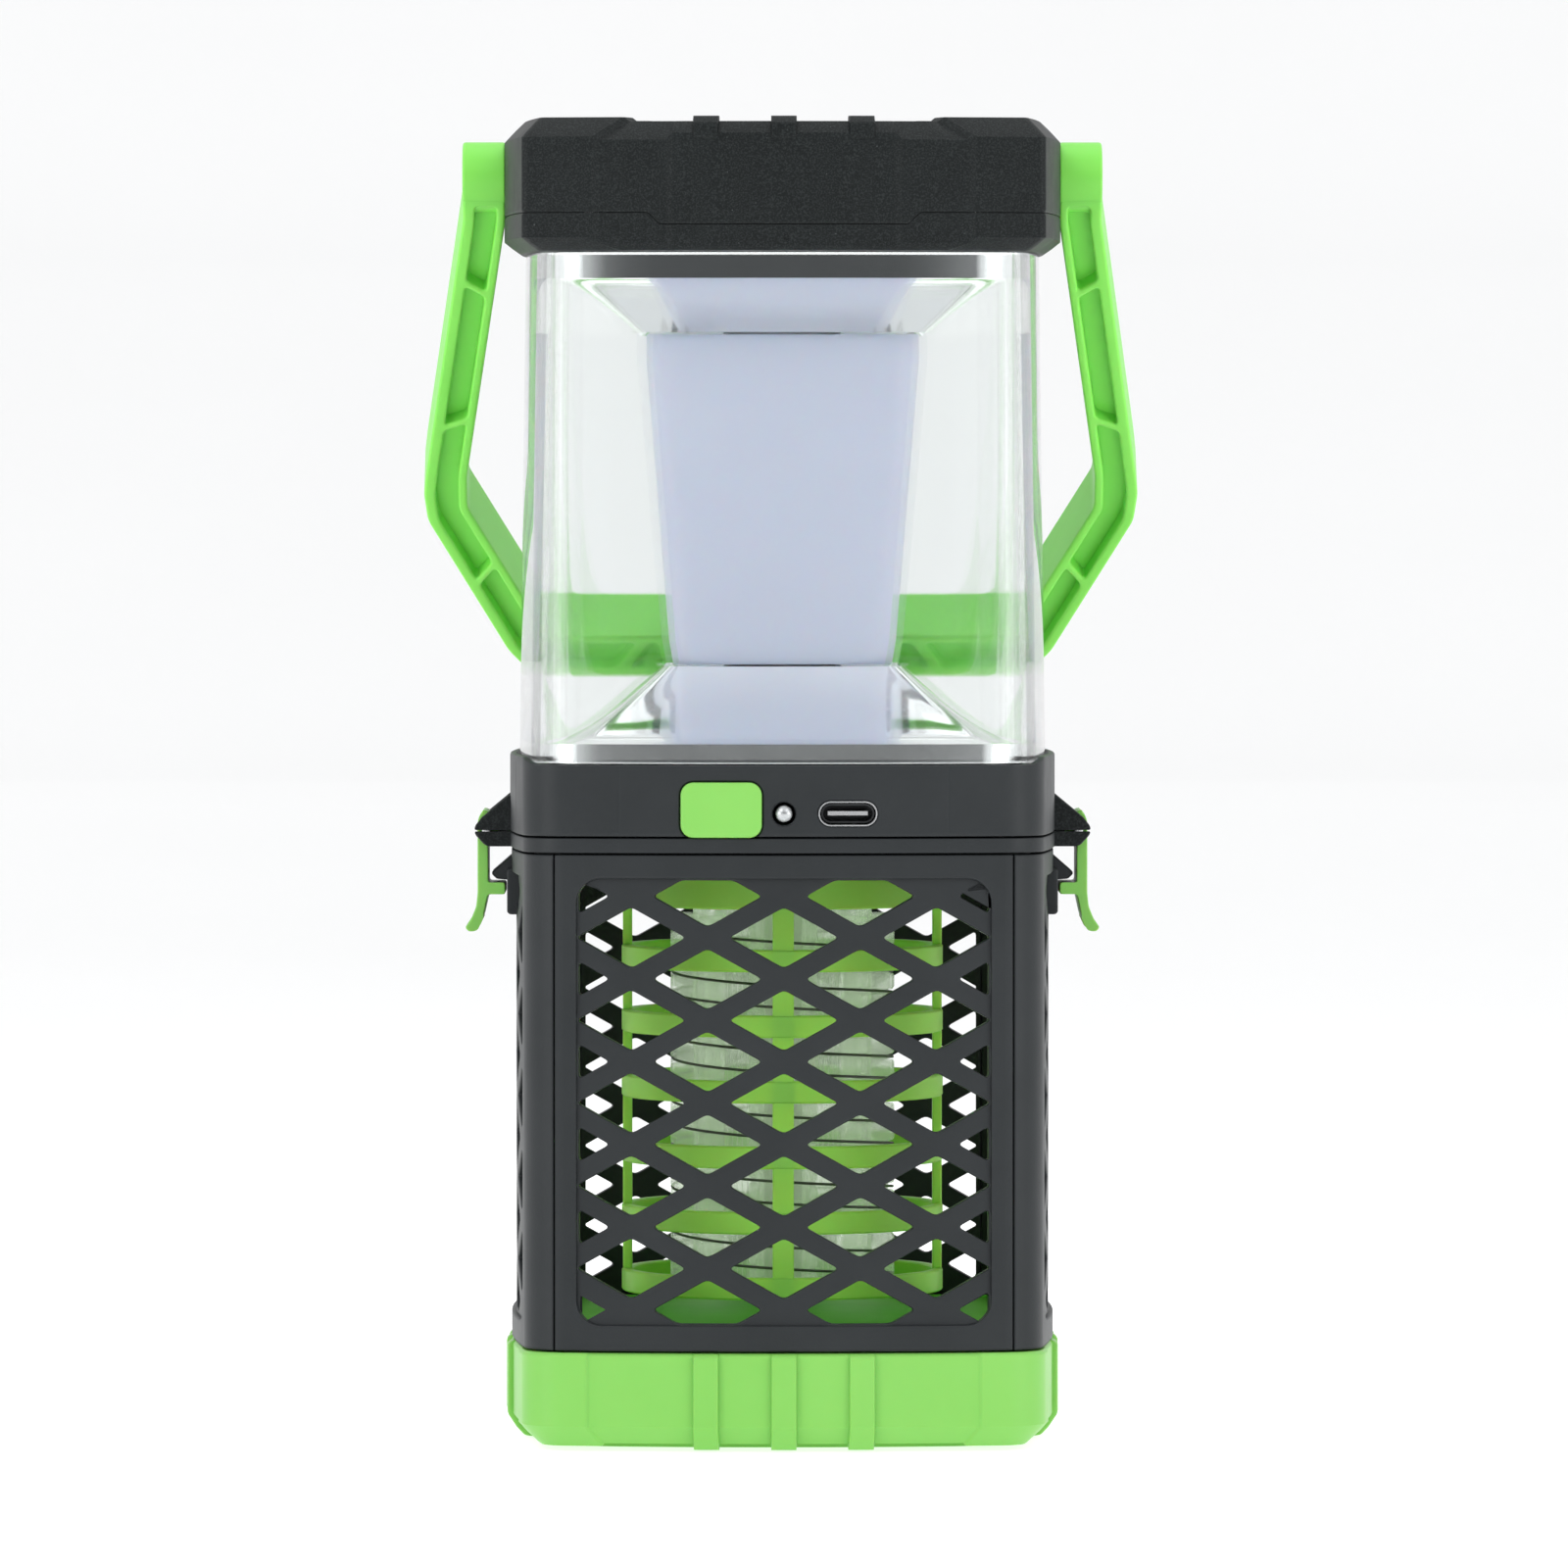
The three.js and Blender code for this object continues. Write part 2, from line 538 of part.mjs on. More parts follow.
function upperReflector() {
  const throat = DIFFUSER.topHalf + 1;
  const bottom = DIFFUSER.top + GAP;
  const skinLevels = [
    { z: LENS.top, half: REFLECTOR.upperHalf },
    ...flareLevels(REFLECTOR.upperHalf, REFLECTOR.upperBand, throat, bottom, 0),
  ];
  const hollowLevels = [
    { z: LENS.top + 1, half: REFLECTOR.upperHalf - REFLECTOR.wall },
    ...flareLevels(
      REFLECTOR.upperHalf, REFLECTOR.upperBand + REFLECTOR.wall,
      throat, bottom + REFLECTOR.wall, REFLECTOR.wall,
    ),
  ];
  const skin = loft(skinLevels.reverse(), REFLECTOR.radius);
  const hollow = loft(hollowLevels.reverse(), REFLECTOR.radius - 1);
  const throatHole = prism(bowedSquare(DIFFUSER.topHalf - 3, 3), BELOW_CAP, LENS.top);
  return cut(skin, [hollow, throatHole]);
}

function diffuser() {
  const outer = loft([
    { z: DIFFUSER.bottom, half: DIFFUSER.bottomHalf },
    { z: DIFFUSER.top, half: DIFFUSER.topHalf },
  ], DIFFUSER.radius);
  const inner = loft([
    { z: DIFFUSER.bottom - 1, half: DIFFUSER.bottomHalf - DIFFUSER.wall },
    { z: DIFFUSER.top + 1, half: DIFFUSER.topHalf - DIFFUSER.wall },
  ], DIFFUSER.radius - DIFFUSER.wall);
  return outer.subtract(inner);
}

function ledBoard() {
  return block(-10, 10, -0.8, 0.8, 113.7, 194);
}

// ---- cap: two black shells with stepped sides, corner blocks and ribbed edges ----
// Corner blocks stand proud of the side panels, which stand proud of the centre panel on each side.
function capStock() {
  const centre = chamferedBlock(
    CAP.half, CAP.bottom, CAP.top, CAP_CHAMFER.centre, CAP_CHAMFER.centre, CAP.cornerRadius,
  );
  const side = chamferedBlock(
    CAP.half + CAP_STEPS.sideProud, CAP.bottom, CAP.top + CAP_CHAMFER.sideRise,
    CAP_CHAMFER.side, CAP_CHAMFER.side, CAP.cornerRadius,
  );
  const corner = chamferedBlock(
    CAP.half + CAP_STEPS.cornerProud, CAP.bottom, CAP.top + CAP_CHAMFER.cornerRise,
    CAP_CHAMFER.corner, CAP_CHAMFER.corner, CAP.cornerRadius,
  );
  const sideZone = cornerColumns(CAP_STEPS.sideInner);
  const cornerZone = cornerColumns(CAP_STEPS.cornerInner);
  return unite([centre, side.intersect(sideZone), corner.intersect(cornerZone)]);
}

// The four corners of the cap beyond a distance from both centre planes.
function cornerColumns(from) {
  return unite(quarterTurns(block(from, REACH, from, REACH, BELOW_CAP, ABOVE_CAP)));
}

function capRibs() {
  const stock = chamferedBlock(CAP.half + 0.1, CAP.top - 5, CAP.top + RIB.proud, 0, CAP_CHAMFER.centre);
  const slots = [];
  for (let i = 0; i < RIB.count; i += 1) {
    const middle = (i - (RIB.count - 1) / 2) * RIB.pitch;
    const slot = block(middle - RIB.width / 2, middle + RIB.width / 2, -REACH, -36, BELOW_CAP, ABOVE_CAP);
    slots.push(...quarterTurns(slot));
  }
  return stock.intersect(unite(slots));
}

// The seam between the two shells: low across each centre panel, higher around the corners.
function belowSeam(offset) {
  const low = CAP.seam + offset;
  const high = low + CAP.seamRise;
  const inner = CAP_STEPS.sideInner - 0.5;
  const outer = inner + CAP.seamRise;
  const profile = polygon([
    [-REACH, BELOW_CAP], [REACH, BELOW_CAP], [REACH, high], [outer, high], [inner, low],
    [-inner, low], [-outer, high], [-REACH, high],
  ]);
  const acrossX = prismAlongY(profile, -REACH, REACH);
  return acrossX.intersect(acrossX.rotate([0, 0, 90]));
}

function capScrewPlaces() {
  return [[-32, -32], [32, -32], [32, 32], [-32, 32]];
}

function capLower() {
  const room = loft([
    { z: CAP.bottom + 2, half: CAP.half - WALL - 3 },
    { z: CAP.top, half: CAP.half - WALL - 1.2 },
  ]);
  const lightHole = prism(bowedSquare(26, 4), BELOW_CAP, ABOVE_CAP);
  const bores = capScrewPlaces().map((at) => rodAlong('z', CAP_SCREW.bore, BELOW_CAP, ABOVE_CAP, at));
  const dimple = rodAlong('y', 0.65, -REACH, -CAP.half + 0.5, [0.4, 203.3], 12);
  return cut(capStock().intersect(belowSeam(-GAP / 2)), [room, lightHole, dimple, ...bores]);
}

function capUpper() {
  const room = loft([
    { z: CAP.bottom, half: CAP.half - WALL - 1.2 },
    { z: CAP.top - 2.4, half: CAP.half - WALL - 1.2 },
  ]);
  const places = capScrewPlaces();
  const posts = places.map((at) => rodAlong('z', CAP_SCREW.post, CAP.bottom + 2.6, CAP.top - 2, at));
  const bores = places.map((at) => rodAlong('z', CAP_SCREW.bore, BELOW_CAP, CAP_SCREW.boreTop, at));
  const pinHole = rodAlong('x', PIVOT.pinRadius + GAP, -REACH, REACH, [0, PIVOT.z], 20);
  const topPanel = prism(bowedSquare(38, 6), CAP.top - 0.9, ABOVE_CAP);
  const stock = capStock().add(capRibs()).subtract(belowSeam(GAP / 2));
  const shell = cut(stock, [room, topPanel]);
  return cut(unite([shell, ...posts]), [...bores, pinHole]);
}

// ---- handle: a green bail with channelled arms, drawn hanging straight down, then swung back ----
// Down the outside of the right arm, then up its inside; the left arm mirrors it.
function handleOutline() {
  const slant = new THREE.Vector2(
    HANDLE.kneeOuter - CROSSBAR.slantHalf, CROSSBAR.slantEnd - HANDLE.kneeBottom,
  );
  const across = new THREE.Vector2(slant.y, slant.x).normalize().multiplyScalar(HANDLE.width);
  const innerKnee = HANDLE.kneeOuter - HANDLE.width + 0.5;
  const slantFoot = CROSSBAR.slantEnd - across.y;
  const innerFoot = CROSSBAR.slantHalf - across.x + ((slantFoot - CROSSBAR.top) * slant.x) / slant.y;
  const outer = [
    [PIVOT.eyeOuter, -PIVOT.eyeRadius],
    [PIVOT.eyeOuter, 5],
    [HANDLE.kneeOuter - 0.5, HANDLE.kneeTop - 3],
    [HANDLE.kneeOuter, HANDLE.kneeTop + 2],
    [HANDLE.kneeOuter - 0.6, HANDLE.kneeBottom],
    [CROSSBAR.slantHalf, CROSSBAR.slantEnd - 1],
    [CROSSBAR.slantHalf - 3.6, CROSSBAR.bottom - 1.2],
    [CROSSBAR.flatHalf, CROSSBAR.bottom],
  ];
  const inner = [
    [innerFoot - 5, CROSSBAR.top],
    [innerFoot - 1, CROSSBAR.top - 0.9],
    [innerFoot + 2, CROSSBAR.top - 4.5],
    [innerKnee, HANDLE.kneeBottom - 3],
    [innerKnee, HANDLE.kneeTop - 2],
    [PIVOT.eyeInner, 5],
    [PIVOT.eyeInner, -PIVOT.eyeRadius],
  ];
  const right = outer.map(([x, drop]) => [x, -drop]);
  const rightInner = inner.map(([x, drop]) => [x, -drop]);
  const mirrored = (points) => [...points].reverse().map(([x, z]) => [-x, z]);
  return [...right, ...mirrored(right), ...mirrored(rightInner), ...rightInner];
}

// The outline moved inward by a flange's width, corner by corner.
function insetOutline(points, distance) {
  return points.map((point, i) => {
    const here = new THREE.Vector2(...point);
    const before = new THREE.Vector2(...points[(i + points.length - 1) % points.length]);
    const after = new THREE.Vector2(...points[(i + 1) % points.length]);
    const into = here.clone().sub(before).normalize();
    const away = after.clone().sub(here).normalize();
    const bisector = new THREE.Vector2(into.y + away.y, -into.x - away.x).normalize();
    const sharpness = bisector.dot(new THREE.Vector2(into.y, -into.x));
    return here.addScaledVector(bisector, distance / sharpness).toArray();
  });
}

// A stub pin on the inside of each eye snaps into the cap's side wall.
function stubPin() {
  const shaft = rodAlong('x', PIVOT.pinRadius, PIVOT.pinInner, PIVOT.eyeInner + 1, [0, 0], 20);
  const lip = rodAlong('x', PIVOT.lip, PIVOT.pinInner, PIVOT.pinInner + 1.2, [0, 0], 20);
  return shaft.add(lip);
}

function handle() {
  const outline = handleOutline();
  const half = HANDLE.thickness / 2;
  const bail = prismAlongY(polygon(outline), -half, half);
  const eyes = rodAlong('x', PIVOT.eyeRadius, -REACH, REACH, [0, 0], 24);
  const arms = block(-REACH, REACH, -REACH, REACH, -REACH, 0);
  const belowEyes = block(-REACH, REACH, -REACH, REACH, -REACH, -1);
  const channel = prismAlongY(polygon(insetOutline(outline, HANDLE.flange)), -REACH, HANDLE.channel - half)
    .intersect(belowEyes);
  const front = HANDLE.ribRecess - half;
  const rib = HANDLE.ribWidth / 2;
  const ribs = HANDLE.ribDrops.map((drop) => block(-REACH, REACH, front, 0, -drop - rib, -drop + rib));
  const barRibs = HANDLE.ribAcross.map((x) => block(x - rib, x + rib, front, 0, -REACH, -CROSSBAR.top));
  const frontPockets = cut(channel, [...ribs, ...barRibs]);
  const shell = cut(bail.intersect(eyes.add(arms)), [frontPockets, frontPockets.mirror([0, 1, 0])]);
  const whole = unite([shell, stubPin(), mirrorX(stubPin())]);
  return whole.rotate([HANDLE.tilt, 0, 0]).translate([0, 0, PIVOT.z]);
}

// ---- zapper grid: a ringed guard around a clear light guide that carries two high-voltage wires ----
function ring(outerRadius, innerRadius, z0, z1, sides = 20) {
  return rodAlong('z', outerRadius, z0, z1, [0, 0], sides)
    .subtract(rodAlong('z', innerRadius, z0 - 1, z1 + 1, [0, 0], sides));
}

function gridGuard() {
  const inside = GUARD.radius - GUARD.wall;
  const pieces = [
    ring(GUARD.radius, inside, GUARD.skirt, COLLAR.bottom - GAP),
    rodAlong('z', GUARD.radius - 0.5, GUARD.plate, COLLAR.bottom - GAP, [0, 0], 20),
  ];
  for (let i = 0; i < GUARD.rings; i += 1) {
    const z = GUARD.bottom + i * GUARD.pitch;
    pieces.push(ring(GUARD.radius, inside, z, z + GUARD.ringHeight));
  }
  const post = block(
    -GUARD.post / 2, GUARD.post / 2, 0.2 - GUARD.radius, -inside, GUARD.bottom, GUARD.skirt + 1.8,
  );
  const wireHole = rodAlong('z', 5, 0, REACH, [0, 0], 16);
  return unite([...pieces, ...quarterTurns(post)]).subtract(wireHole);
}

function lightGuide() {
  const body = rodAlong('z', GUIDE.body, GUIDE.bottom, GUIDE.top, [0, 0], 24);
  const fins = [];
  for (let i = 0; i < GUIDE.fins; i += 1) {
    const fin = block(
      GUIDE.body - 1, GUIDE.fin, -GUIDE.finWidth / 2, GUIDE.finWidth / 2, GUIDE.bottom, GUIDE.top - 8,
    );
    fins.push(fin.rotate([0, 0, (i * 360) / GUIDE.fins + 15]));
  }
  const leg = block(-GUIDE.body + 0.6, -GUIDE.body + 2.2, -3.9, 3.9, GUIDE.legBottom, GUIDE.bottom + 2);
  const legs = quarterTurns(leg, [45, 135, 225, 315]);
  const hollow = rodAlong('z', GUIDE.inner, 0, REACH, [0, 0], 24);
  return unite([body.subtract(hollow), ...fins, ...legs]);
}

class Helix extends THREE.Curve {
  constructor(phase) {
    super();
    this.phase = phase;
  }

  getPoint(t) {
    const angle = this.phase - t * COIL.turns * 2 * Math.PI;
    const z = COIL.bottom + t * COIL.turns * COIL.lead;
    return new THREE.Vector3(COIL.radius * Math.cos(angle), COIL.radius * Math.sin(angle), z);
  }
}

function gridWire(phase) {
  const side = 0.87 * COIL.wire;
  const section = polygon([[COIL.wire, 0], [-COIL.wire / 2, side], [-COIL.wire / 2, -side]]);
  const geometry = new THREE.ExtrudeGeometry(section, {
    steps: COIL.turns * COIL.stepsPerTurn,
    extrudePath: new Helix(phase),
    bevelEnabled: false,
  });
  return toSolid(geometry);
}

function uvBoard() {
  return block(-5, 5, -0.8, 0.8, 26, 94);
}

function insectTray() {
  const plate = prism(bowedSquare(TRAY.half, 5), TRAY.bottom, TRAY.top);
  const dish = prism(bowedSquare(TRAY.half - 2, 3), TRAY.top - 0.4, TRAY.top + 1);
  return plate.subtract(dish);
}

// ---- assembly ----
const group = new THREE.Group();

function place(name, solid, material) {
  group.add(toMesh(name, solid, material));
}

function placeScrews(name, places, headBottom, headTop, shankTop, headRadius, shankRadius) {
  places.forEach(([x, y], i) => {
    place(`${name}_${i + 1}`, screw(x, y, headBottom, headTop, shankTop, headRadius, shankRadius), steel);
  });
}

const ringWalls = cageRing();
const rightWall = cageSidePanel(ringWalls);
const rightLatch = latchLever();
const bossPlaces = [[-1, -1], [1, -1], [1, 1], [-1, 1]].map(([x, y]) => [x * BOSS.at, y * BOSS.at]);

place('base_cover', baseCover(), greenPlastic);
place('insect_tray', insectTray(), greenPlastic);
place('cage_front', cageFrontPanel(ringWalls), blackPlastic);
place('cage_rear', cageFrontPanel(ringWalls.rotate([0, 0, 180])).rotate([0, 0, 180]), blackPlastic);
place('cage_left', mirrorX(rightWall), blackPlastic);
place('cage_right', rightWall, blackPlastic);
placeScrews('base_screw', bossPlaces, 2, 4.9, 16, 3, 1.5);

place('grid_guard', gridGuard(), guardPlastic);
place('light_guide', lightGuide(), clearPlastic);
place('uv_board', uvBoard(), boardWhite);
place('grid_wire_a', gridWire(0), steel);
place('grid_wire_b', gridWire(Math.PI), steel);

place('collar_floor', collarFloor(), blackPlastic);
place('collar_housing', collarHousing(), blackPlastic);
placeScrews('collar_screw', collarScrewPlaces(), 100.2, 101.4, 110, 2.1, 1.1);
place('main_board', mainBoard(), boardGreen);
place('power_switch', powerSwitch(), pottingBlack);
place('power_button', powerButton(), greenPlastic);
place('status_led', statusLed(), clearPlastic);
place('usb_shell', usbShell(), steel);
place('usb_tongue', usbTongue(), pottingBlack);
place('booster_module', boosterModule(), pottingBlack);
place('battery_pack', batteryPack(), cellFoil);

place('latch_left', mirrorX(rightLatch), greenPlastic);
place('latch_right', rightLatch, greenPlastic);
place('latch_pin_left', mirrorX(latchPin()), steel);
place('latch_pin_right', latchPin(), steel);

place('lens', lens(), clearPlastic);
place('lower_reflector', lowerReflector(), mirrorPlastic);
place('upper_reflector', upperReflector(), mirrorPlastic);
place('diffuser', diffuser(), diffuserPlastic);
place('led_board', ledBoard(), boardWhite);

place('cap_lower', capLower(), blackPlastic);
place('cap_upper', capUpper(), blackPlastic);
placeScrews('cap_screw', capScrewPlaces(), CAP.bottom - 2, CAP.bottom - GAP, 214, 2.9, 1.5);

place('handle', handle(), greenPlastic);

export default group;
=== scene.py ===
import json
import math

import bmesh
import bpy
from mathutils import Matrix, Vector


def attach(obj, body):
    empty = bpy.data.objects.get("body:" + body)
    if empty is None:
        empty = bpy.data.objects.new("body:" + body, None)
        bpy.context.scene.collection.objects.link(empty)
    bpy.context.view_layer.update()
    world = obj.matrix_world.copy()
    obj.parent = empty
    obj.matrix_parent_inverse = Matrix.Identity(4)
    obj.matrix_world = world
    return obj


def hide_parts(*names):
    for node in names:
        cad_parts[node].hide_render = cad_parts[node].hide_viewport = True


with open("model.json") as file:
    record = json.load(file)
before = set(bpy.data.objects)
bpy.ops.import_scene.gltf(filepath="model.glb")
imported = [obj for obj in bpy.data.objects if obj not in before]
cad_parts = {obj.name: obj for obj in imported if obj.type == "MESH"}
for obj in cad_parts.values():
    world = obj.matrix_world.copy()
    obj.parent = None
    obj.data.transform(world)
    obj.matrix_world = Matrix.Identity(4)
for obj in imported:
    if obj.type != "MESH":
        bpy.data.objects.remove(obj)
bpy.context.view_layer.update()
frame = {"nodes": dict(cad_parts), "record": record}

# ---- driving dimensions, in millimetres unless a name says otherwise ----
MM = 0.001
BOW_RADIUS = 260.0
CORNER_RADIUS = 8.0
CORNER_STEPS = 12
RIB_PLACES = (-13.1, 0.0, 13.1)
RIB_WIDTH = 4.3

CAP_HALF = 47.45
CAP_CORNER = 1.3
CAP_BOTTOM = 201.1
CAP_SEAM = 205.5
CAP_DECK = 222.7
CAP_TRAY = 221.8
SEAM_GAP = 0.06
BASE_HALF = 46.8
COLLAR_HALF = 46.55
COLLAR_FLOOR = 100.35
COLLAR_SPLIT = 103.13
COLLAR_SPLIT_LOW = 102.87
COLLAR_TOP = 115.0
LIP_START = 0.06
BUTTON_PLACE = (-10.5, 107.625)
LAMP_Z = 107.0
INLET_PLACE = (10.7, 107.0)

CAGE_HALF = 46.3
CAGE_WALL = 2.4
CAGE_SEAM = 38.75
CAGE_BOTTOM, CAGE_TOP = 16.9, 100.05
WINDOW = (-34.9, 34.9, 21.2, 96.1)
LATTICE_STEP_X = 12.87
LATTICE_STEP_Z = 13.87
LATTICE_ROW = 86.2
LATTICE_SETBACK = 0.8
LATTICE_THICKNESS = 2.2
SMALLEST_HOLE = 12.0
REAR_LIFT = 1.7

LENS_HALF = 44.9
LENS_WALL = 2.5
LENS_BOTTOM = 115.3
LENS_HEIGHT = 85.6
DIFFUSER_BOTTOM, DIFFUSER_TOP = 131.5, 187.4
PIVOT_Z = 214.5
HANDLE_TILT = 40.0
LATCH_PLACE = (50.5, 103)

GUARD_INNER, GUARD_OUTER = 25.7, 27.5
GUARD_BOTTOM, GUARD_TOP = 24.1, 100.0
COIL_BOTTOM = 27
COIL_LEAD = 7.4
COIL_TURNS = 8


def ease(a, b, x):
    return min(max((x - a) / (b - a), 0.0), 1.0)


def smooth(a, b, x):
    t = ease(a, b, x)
    return t * t * (3 - 2 * t)


def mix(a, b, t):
    return a + (b - a) * t


# ---- materials ----
def node(tree, kind, **inputs):
    made = tree.nodes.new(kind)
    for name, value in inputs.items():
        made.inputs[name.replace("_", " ")].default_value = value
    return made


def noise(tree, scale, detail=4.0, rough=0.6):
    coords = tree.nodes.new("ShaderNodeTexCoord")
    made = node(tree, "ShaderNodeTexNoise", Scale=scale, Detail=detail, Roughness=rough)
    tree.links.new(coords.outputs["Object"], made.inputs["Vector"])
    return made.outputs["Fac"]


def ramp(tree, factor, low, high, start=0.3, end=0.7):
    made = tree.nodes.new("ShaderNodeValToRGB")
    made.color_ramp.elements[0].position = start
    made.color_ramp.elements[1].position = end
    made.color_ramp.elements[0].color = (*low, 1)
    made.color_ramp.elements[1].color = (*high, 1)
    tree.links.new(factor, made.inputs["Fac"])
    return made.outputs["Color"]


def spread(tree, factor, low, high, start=0.0):
    made = tree.nodes.new("ShaderNodeMapRange")
    made.inputs["From Min"].default_value = start
    made.inputs["To Min"].default_value = low
    made.inputs["To Max"].default_value = high
    tree.links.new(factor, made.inputs["Value"])
    return made.outputs["Result"]


def surface(name, low, high, rough, patch_scale, grain_scale, grain, grain_mm=0.03, **sockets):
    """A procedural finish: colour and roughness drift over patches, and a fine grain stands in relief."""
    made = bpy.data.materials.new(name)
    made.use_nodes = True
    tree = made.node_tree
    shader = tree.nodes["Principled BSDF"]
    for key, value in sockets.items():
        shader.inputs[key.replace("_", " ")].default_value = value
    patches = noise(tree, patch_scale)
    tree.links.new(ramp(tree, patches, low, high), shader.inputs["Base Color"])
    sheen = spread(tree, noise(tree, patch_scale * 3.3), *rough)
    tree.links.new(sheen, shader.inputs["Roughness"])
    relief = node(tree, "ShaderNodeBump", Strength=grain, Distance=grain_mm * MM)
    tree.links.new(noise(tree, grain_scale, 3.0, 0.55), relief.inputs["Height"])
    tree.links.new(relief.outputs["Normal"], shader.inputs["Normal"])
    return made


def black_finish():
    """Charcoal plastic with a spark-eroded grain, a few pale specks and a slightly worn sheen."""
    made = surface("charcoal_plastic", (0.0036, 0.0052, 0.0054), (0.0060, 0.0082, 0.0085), (0.42, 0.54),
                   60, 3600, 0.8, 0.05, Specular_IOR_Level=0.18)
    tree = made.node_tree
    shader = tree.nodes["Principled BSDF"]
    grain = ramp(tree, noise(tree, 3600, 1.0, 0.5), (0, 0, 0), (0.014, 0.016, 0.016), 0.44, 0.72)
    specks = ramp(tree, noise(tree, 2600, 1.0, 0.4), (0, 0, 0), (0.10, 0.11, 0.11), 0.80, 0.85)
    colour = shader.inputs["Base Color"].links[0].from_socket
    for layer in (grain, specks):
        add = tree.nodes.new("ShaderNodeMix")
        add.data_type = "RGBA"
        add.blend_type = "ADD"
        add.inputs["Factor"].default_value = 1.0
        tree.links.new(colour, add.inputs["A"])
        tree.links.new(layer, add.inputs["B"])
        colour = add.outputs["Result"]
    tree.links.new(colour, shader.inputs["Base Color"])
    return made


FINISH = {
    "black": black_finish(),
    "satin": surface("satin_charcoal", (0.0140, 0.0168, 0.0185), (0.0185, 0.0215, 0.0235), (0.40, 0.50),
                     60, 2600, 0.5, 0.04, Specular_IOR_Level=0.28),
    "green": surface("green_plastic", (0.190, 0.500, 0.086), (0.215, 0.530, 0.102), (0.34, 0.44),
                     30, 900, 0.12, Specular_IOR_Level=0.3, Subsurface_Weight=0.12, Subsurface_Scale=0.004),
    # bail: the green plastic painted lighter, as painted light that stands in for the light the handle's arms
    # lack from below
    "bail": surface("bail_plastic_painted_lighter", (0.205, 0.700, 0.088), (0.230, 0.740, 0.100), (0.34, 0.44),
                    30, 900, 0.12, Specular_IOR_Level=0.3, Subsurface_Weight=0.12, Subsurface_Scale=0.004),
    # guard: a light green of its own, painted lighter still to stand in for the light the inside of the cage
    # lacks
    "guard": surface("guard_plastic", (0.390, 0.910, 0.110), (0.430, 0.950, 0.130), (0.36, 0.46),
                     40, 900, 0.12, Specular_IOR_Level=0.3, Subsurface_Weight=0.3, Subsurface_Scale=0.006),
    # deck: the green plastic painted lighter, as painted light for the tray deep in the cage, with almost no
    # specular reflection
    "deck": surface("deck_plastic_painted_lighter", (0.200, 0.680, 0.080), (0.230, 0.730, 0.100), (0.45, 0.55),
                    40, 900, 0.12, Specular_IOR_Level=0.02),
    "clear": surface("clear_plastic", (0.945, 0.972, 0.962), (0.962, 0.984, 0.976), (0.0, 0.03),
                     25, 60, 0.015, Transmission_Weight=1.0, IOR=1.47, Alpha=0.75),
    # fluted: clear plastic with a faint painted glow, a green-tinted emission that stands in for light inside
    # the cage
    "fluted": surface("fluted_plastic_painted_glow", (0.86, 0.96, 0.80), (0.95, 0.99, 0.92), (0.08, 0.16), 50, 60, 0.01,
                      Transmission_Weight=0.65, IOR=1.30, Alpha=0.5, Emission_Color=(0.8, 1.0, 0.7, 1),
                      Emission_Strength=0.06),
    "dark_steel": surface("dark_steel", (0.030, 0.032, 0.034), (0.050, 0.052, 0.055), (0.30, 0.42),
                          120, 900, 0.15, Metallic=0.6),
    "milky": surface("milky_plastic", (0.610, 0.640, 0.790), (0.640, 0.670, 0.815), (0.26, 0.34),
                     20, 500, 0.05, Subsurface_Weight=0.25, Subsurface_Scale=0.006),
    "mirror": surface("mirror_plastic", (0.95, 0.955, 0.96), (0.97, 0.975, 0.98), (0.03, 0.07), 40, 120, 0.03,
                      Metallic=1.0),
    "steel": surface("steel", (0.50, 0.51, 0.52), (0.60, 0.60, 0.61), (0.22, 0.34),
                     120, 900, 0.15, Metallic=1.0),
    "wire": surface("wire_steel", (0.10, 0.10, 0.10), (0.16, 0.155, 0.15), (0.35, 0.5),
                    200, 1200, 0.2, Metallic=0.8),
    "board": surface("circuit_board", (0.008, 0.075, 0.028), (0.014, 0.105, 0.040), (0.30, 0.42),
                     90, 700, 0.3),
    "white_board": surface("white_board", (0.74, 0.74, 0.71), (0.80, 0.80, 0.78), (0.35, 0.5),
                           90, 600, 0.2),
    "foil": surface("battery_foil", (0.42, 0.43, 0.45), (0.50, 0.51, 0.53), (0.25, 0.4),
                    60, 300, 0.4, Metallic=0.7),
    "potting": surface("potting", (0.008, 0.008, 0.009), (0.014, 0.014, 0.015), (0.25, 0.38), 60, 300, 0.3),
}
SLOT_FINISH = {
    "black_plastic": "black", "green_plastic": "green", "guard_plastic": "guard", "clear_plastic": "clear",
    "diffuser_plastic": "milky", "mirror_plastic": "mirror", "steel": "steel", "circuit_board": "board",
    "white_board": "white_board", "battery_foil": "foil", "black_potting": "potting",
}


# ---- mesh helpers ----
def add_piece(name, bm, slot, body="body", finish=None, replaced=(), sharp=35):
    """Turns a mesh drawn in millimetres into a piece that rides on a body."""
    bmesh.ops.remove_doubles(bm, verts=bm.verts, dist=1e-4)
    bmesh.ops.recalc_face_normals(bm, faces=bm.faces)
    bmesh.ops.scale(bm, vec=(MM, MM, MM), verts=bm.verts)
    mesh = bpy.data.meshes.new(name)
    bm.to_mesh(mesh)
    bm.free()
    piece = bpy.data.objects.new(name, mesh)
    bpy.context.scene.collection.objects.link(piece)
    dress(piece, slot, body, finish, replaced, sharp)
    return piece


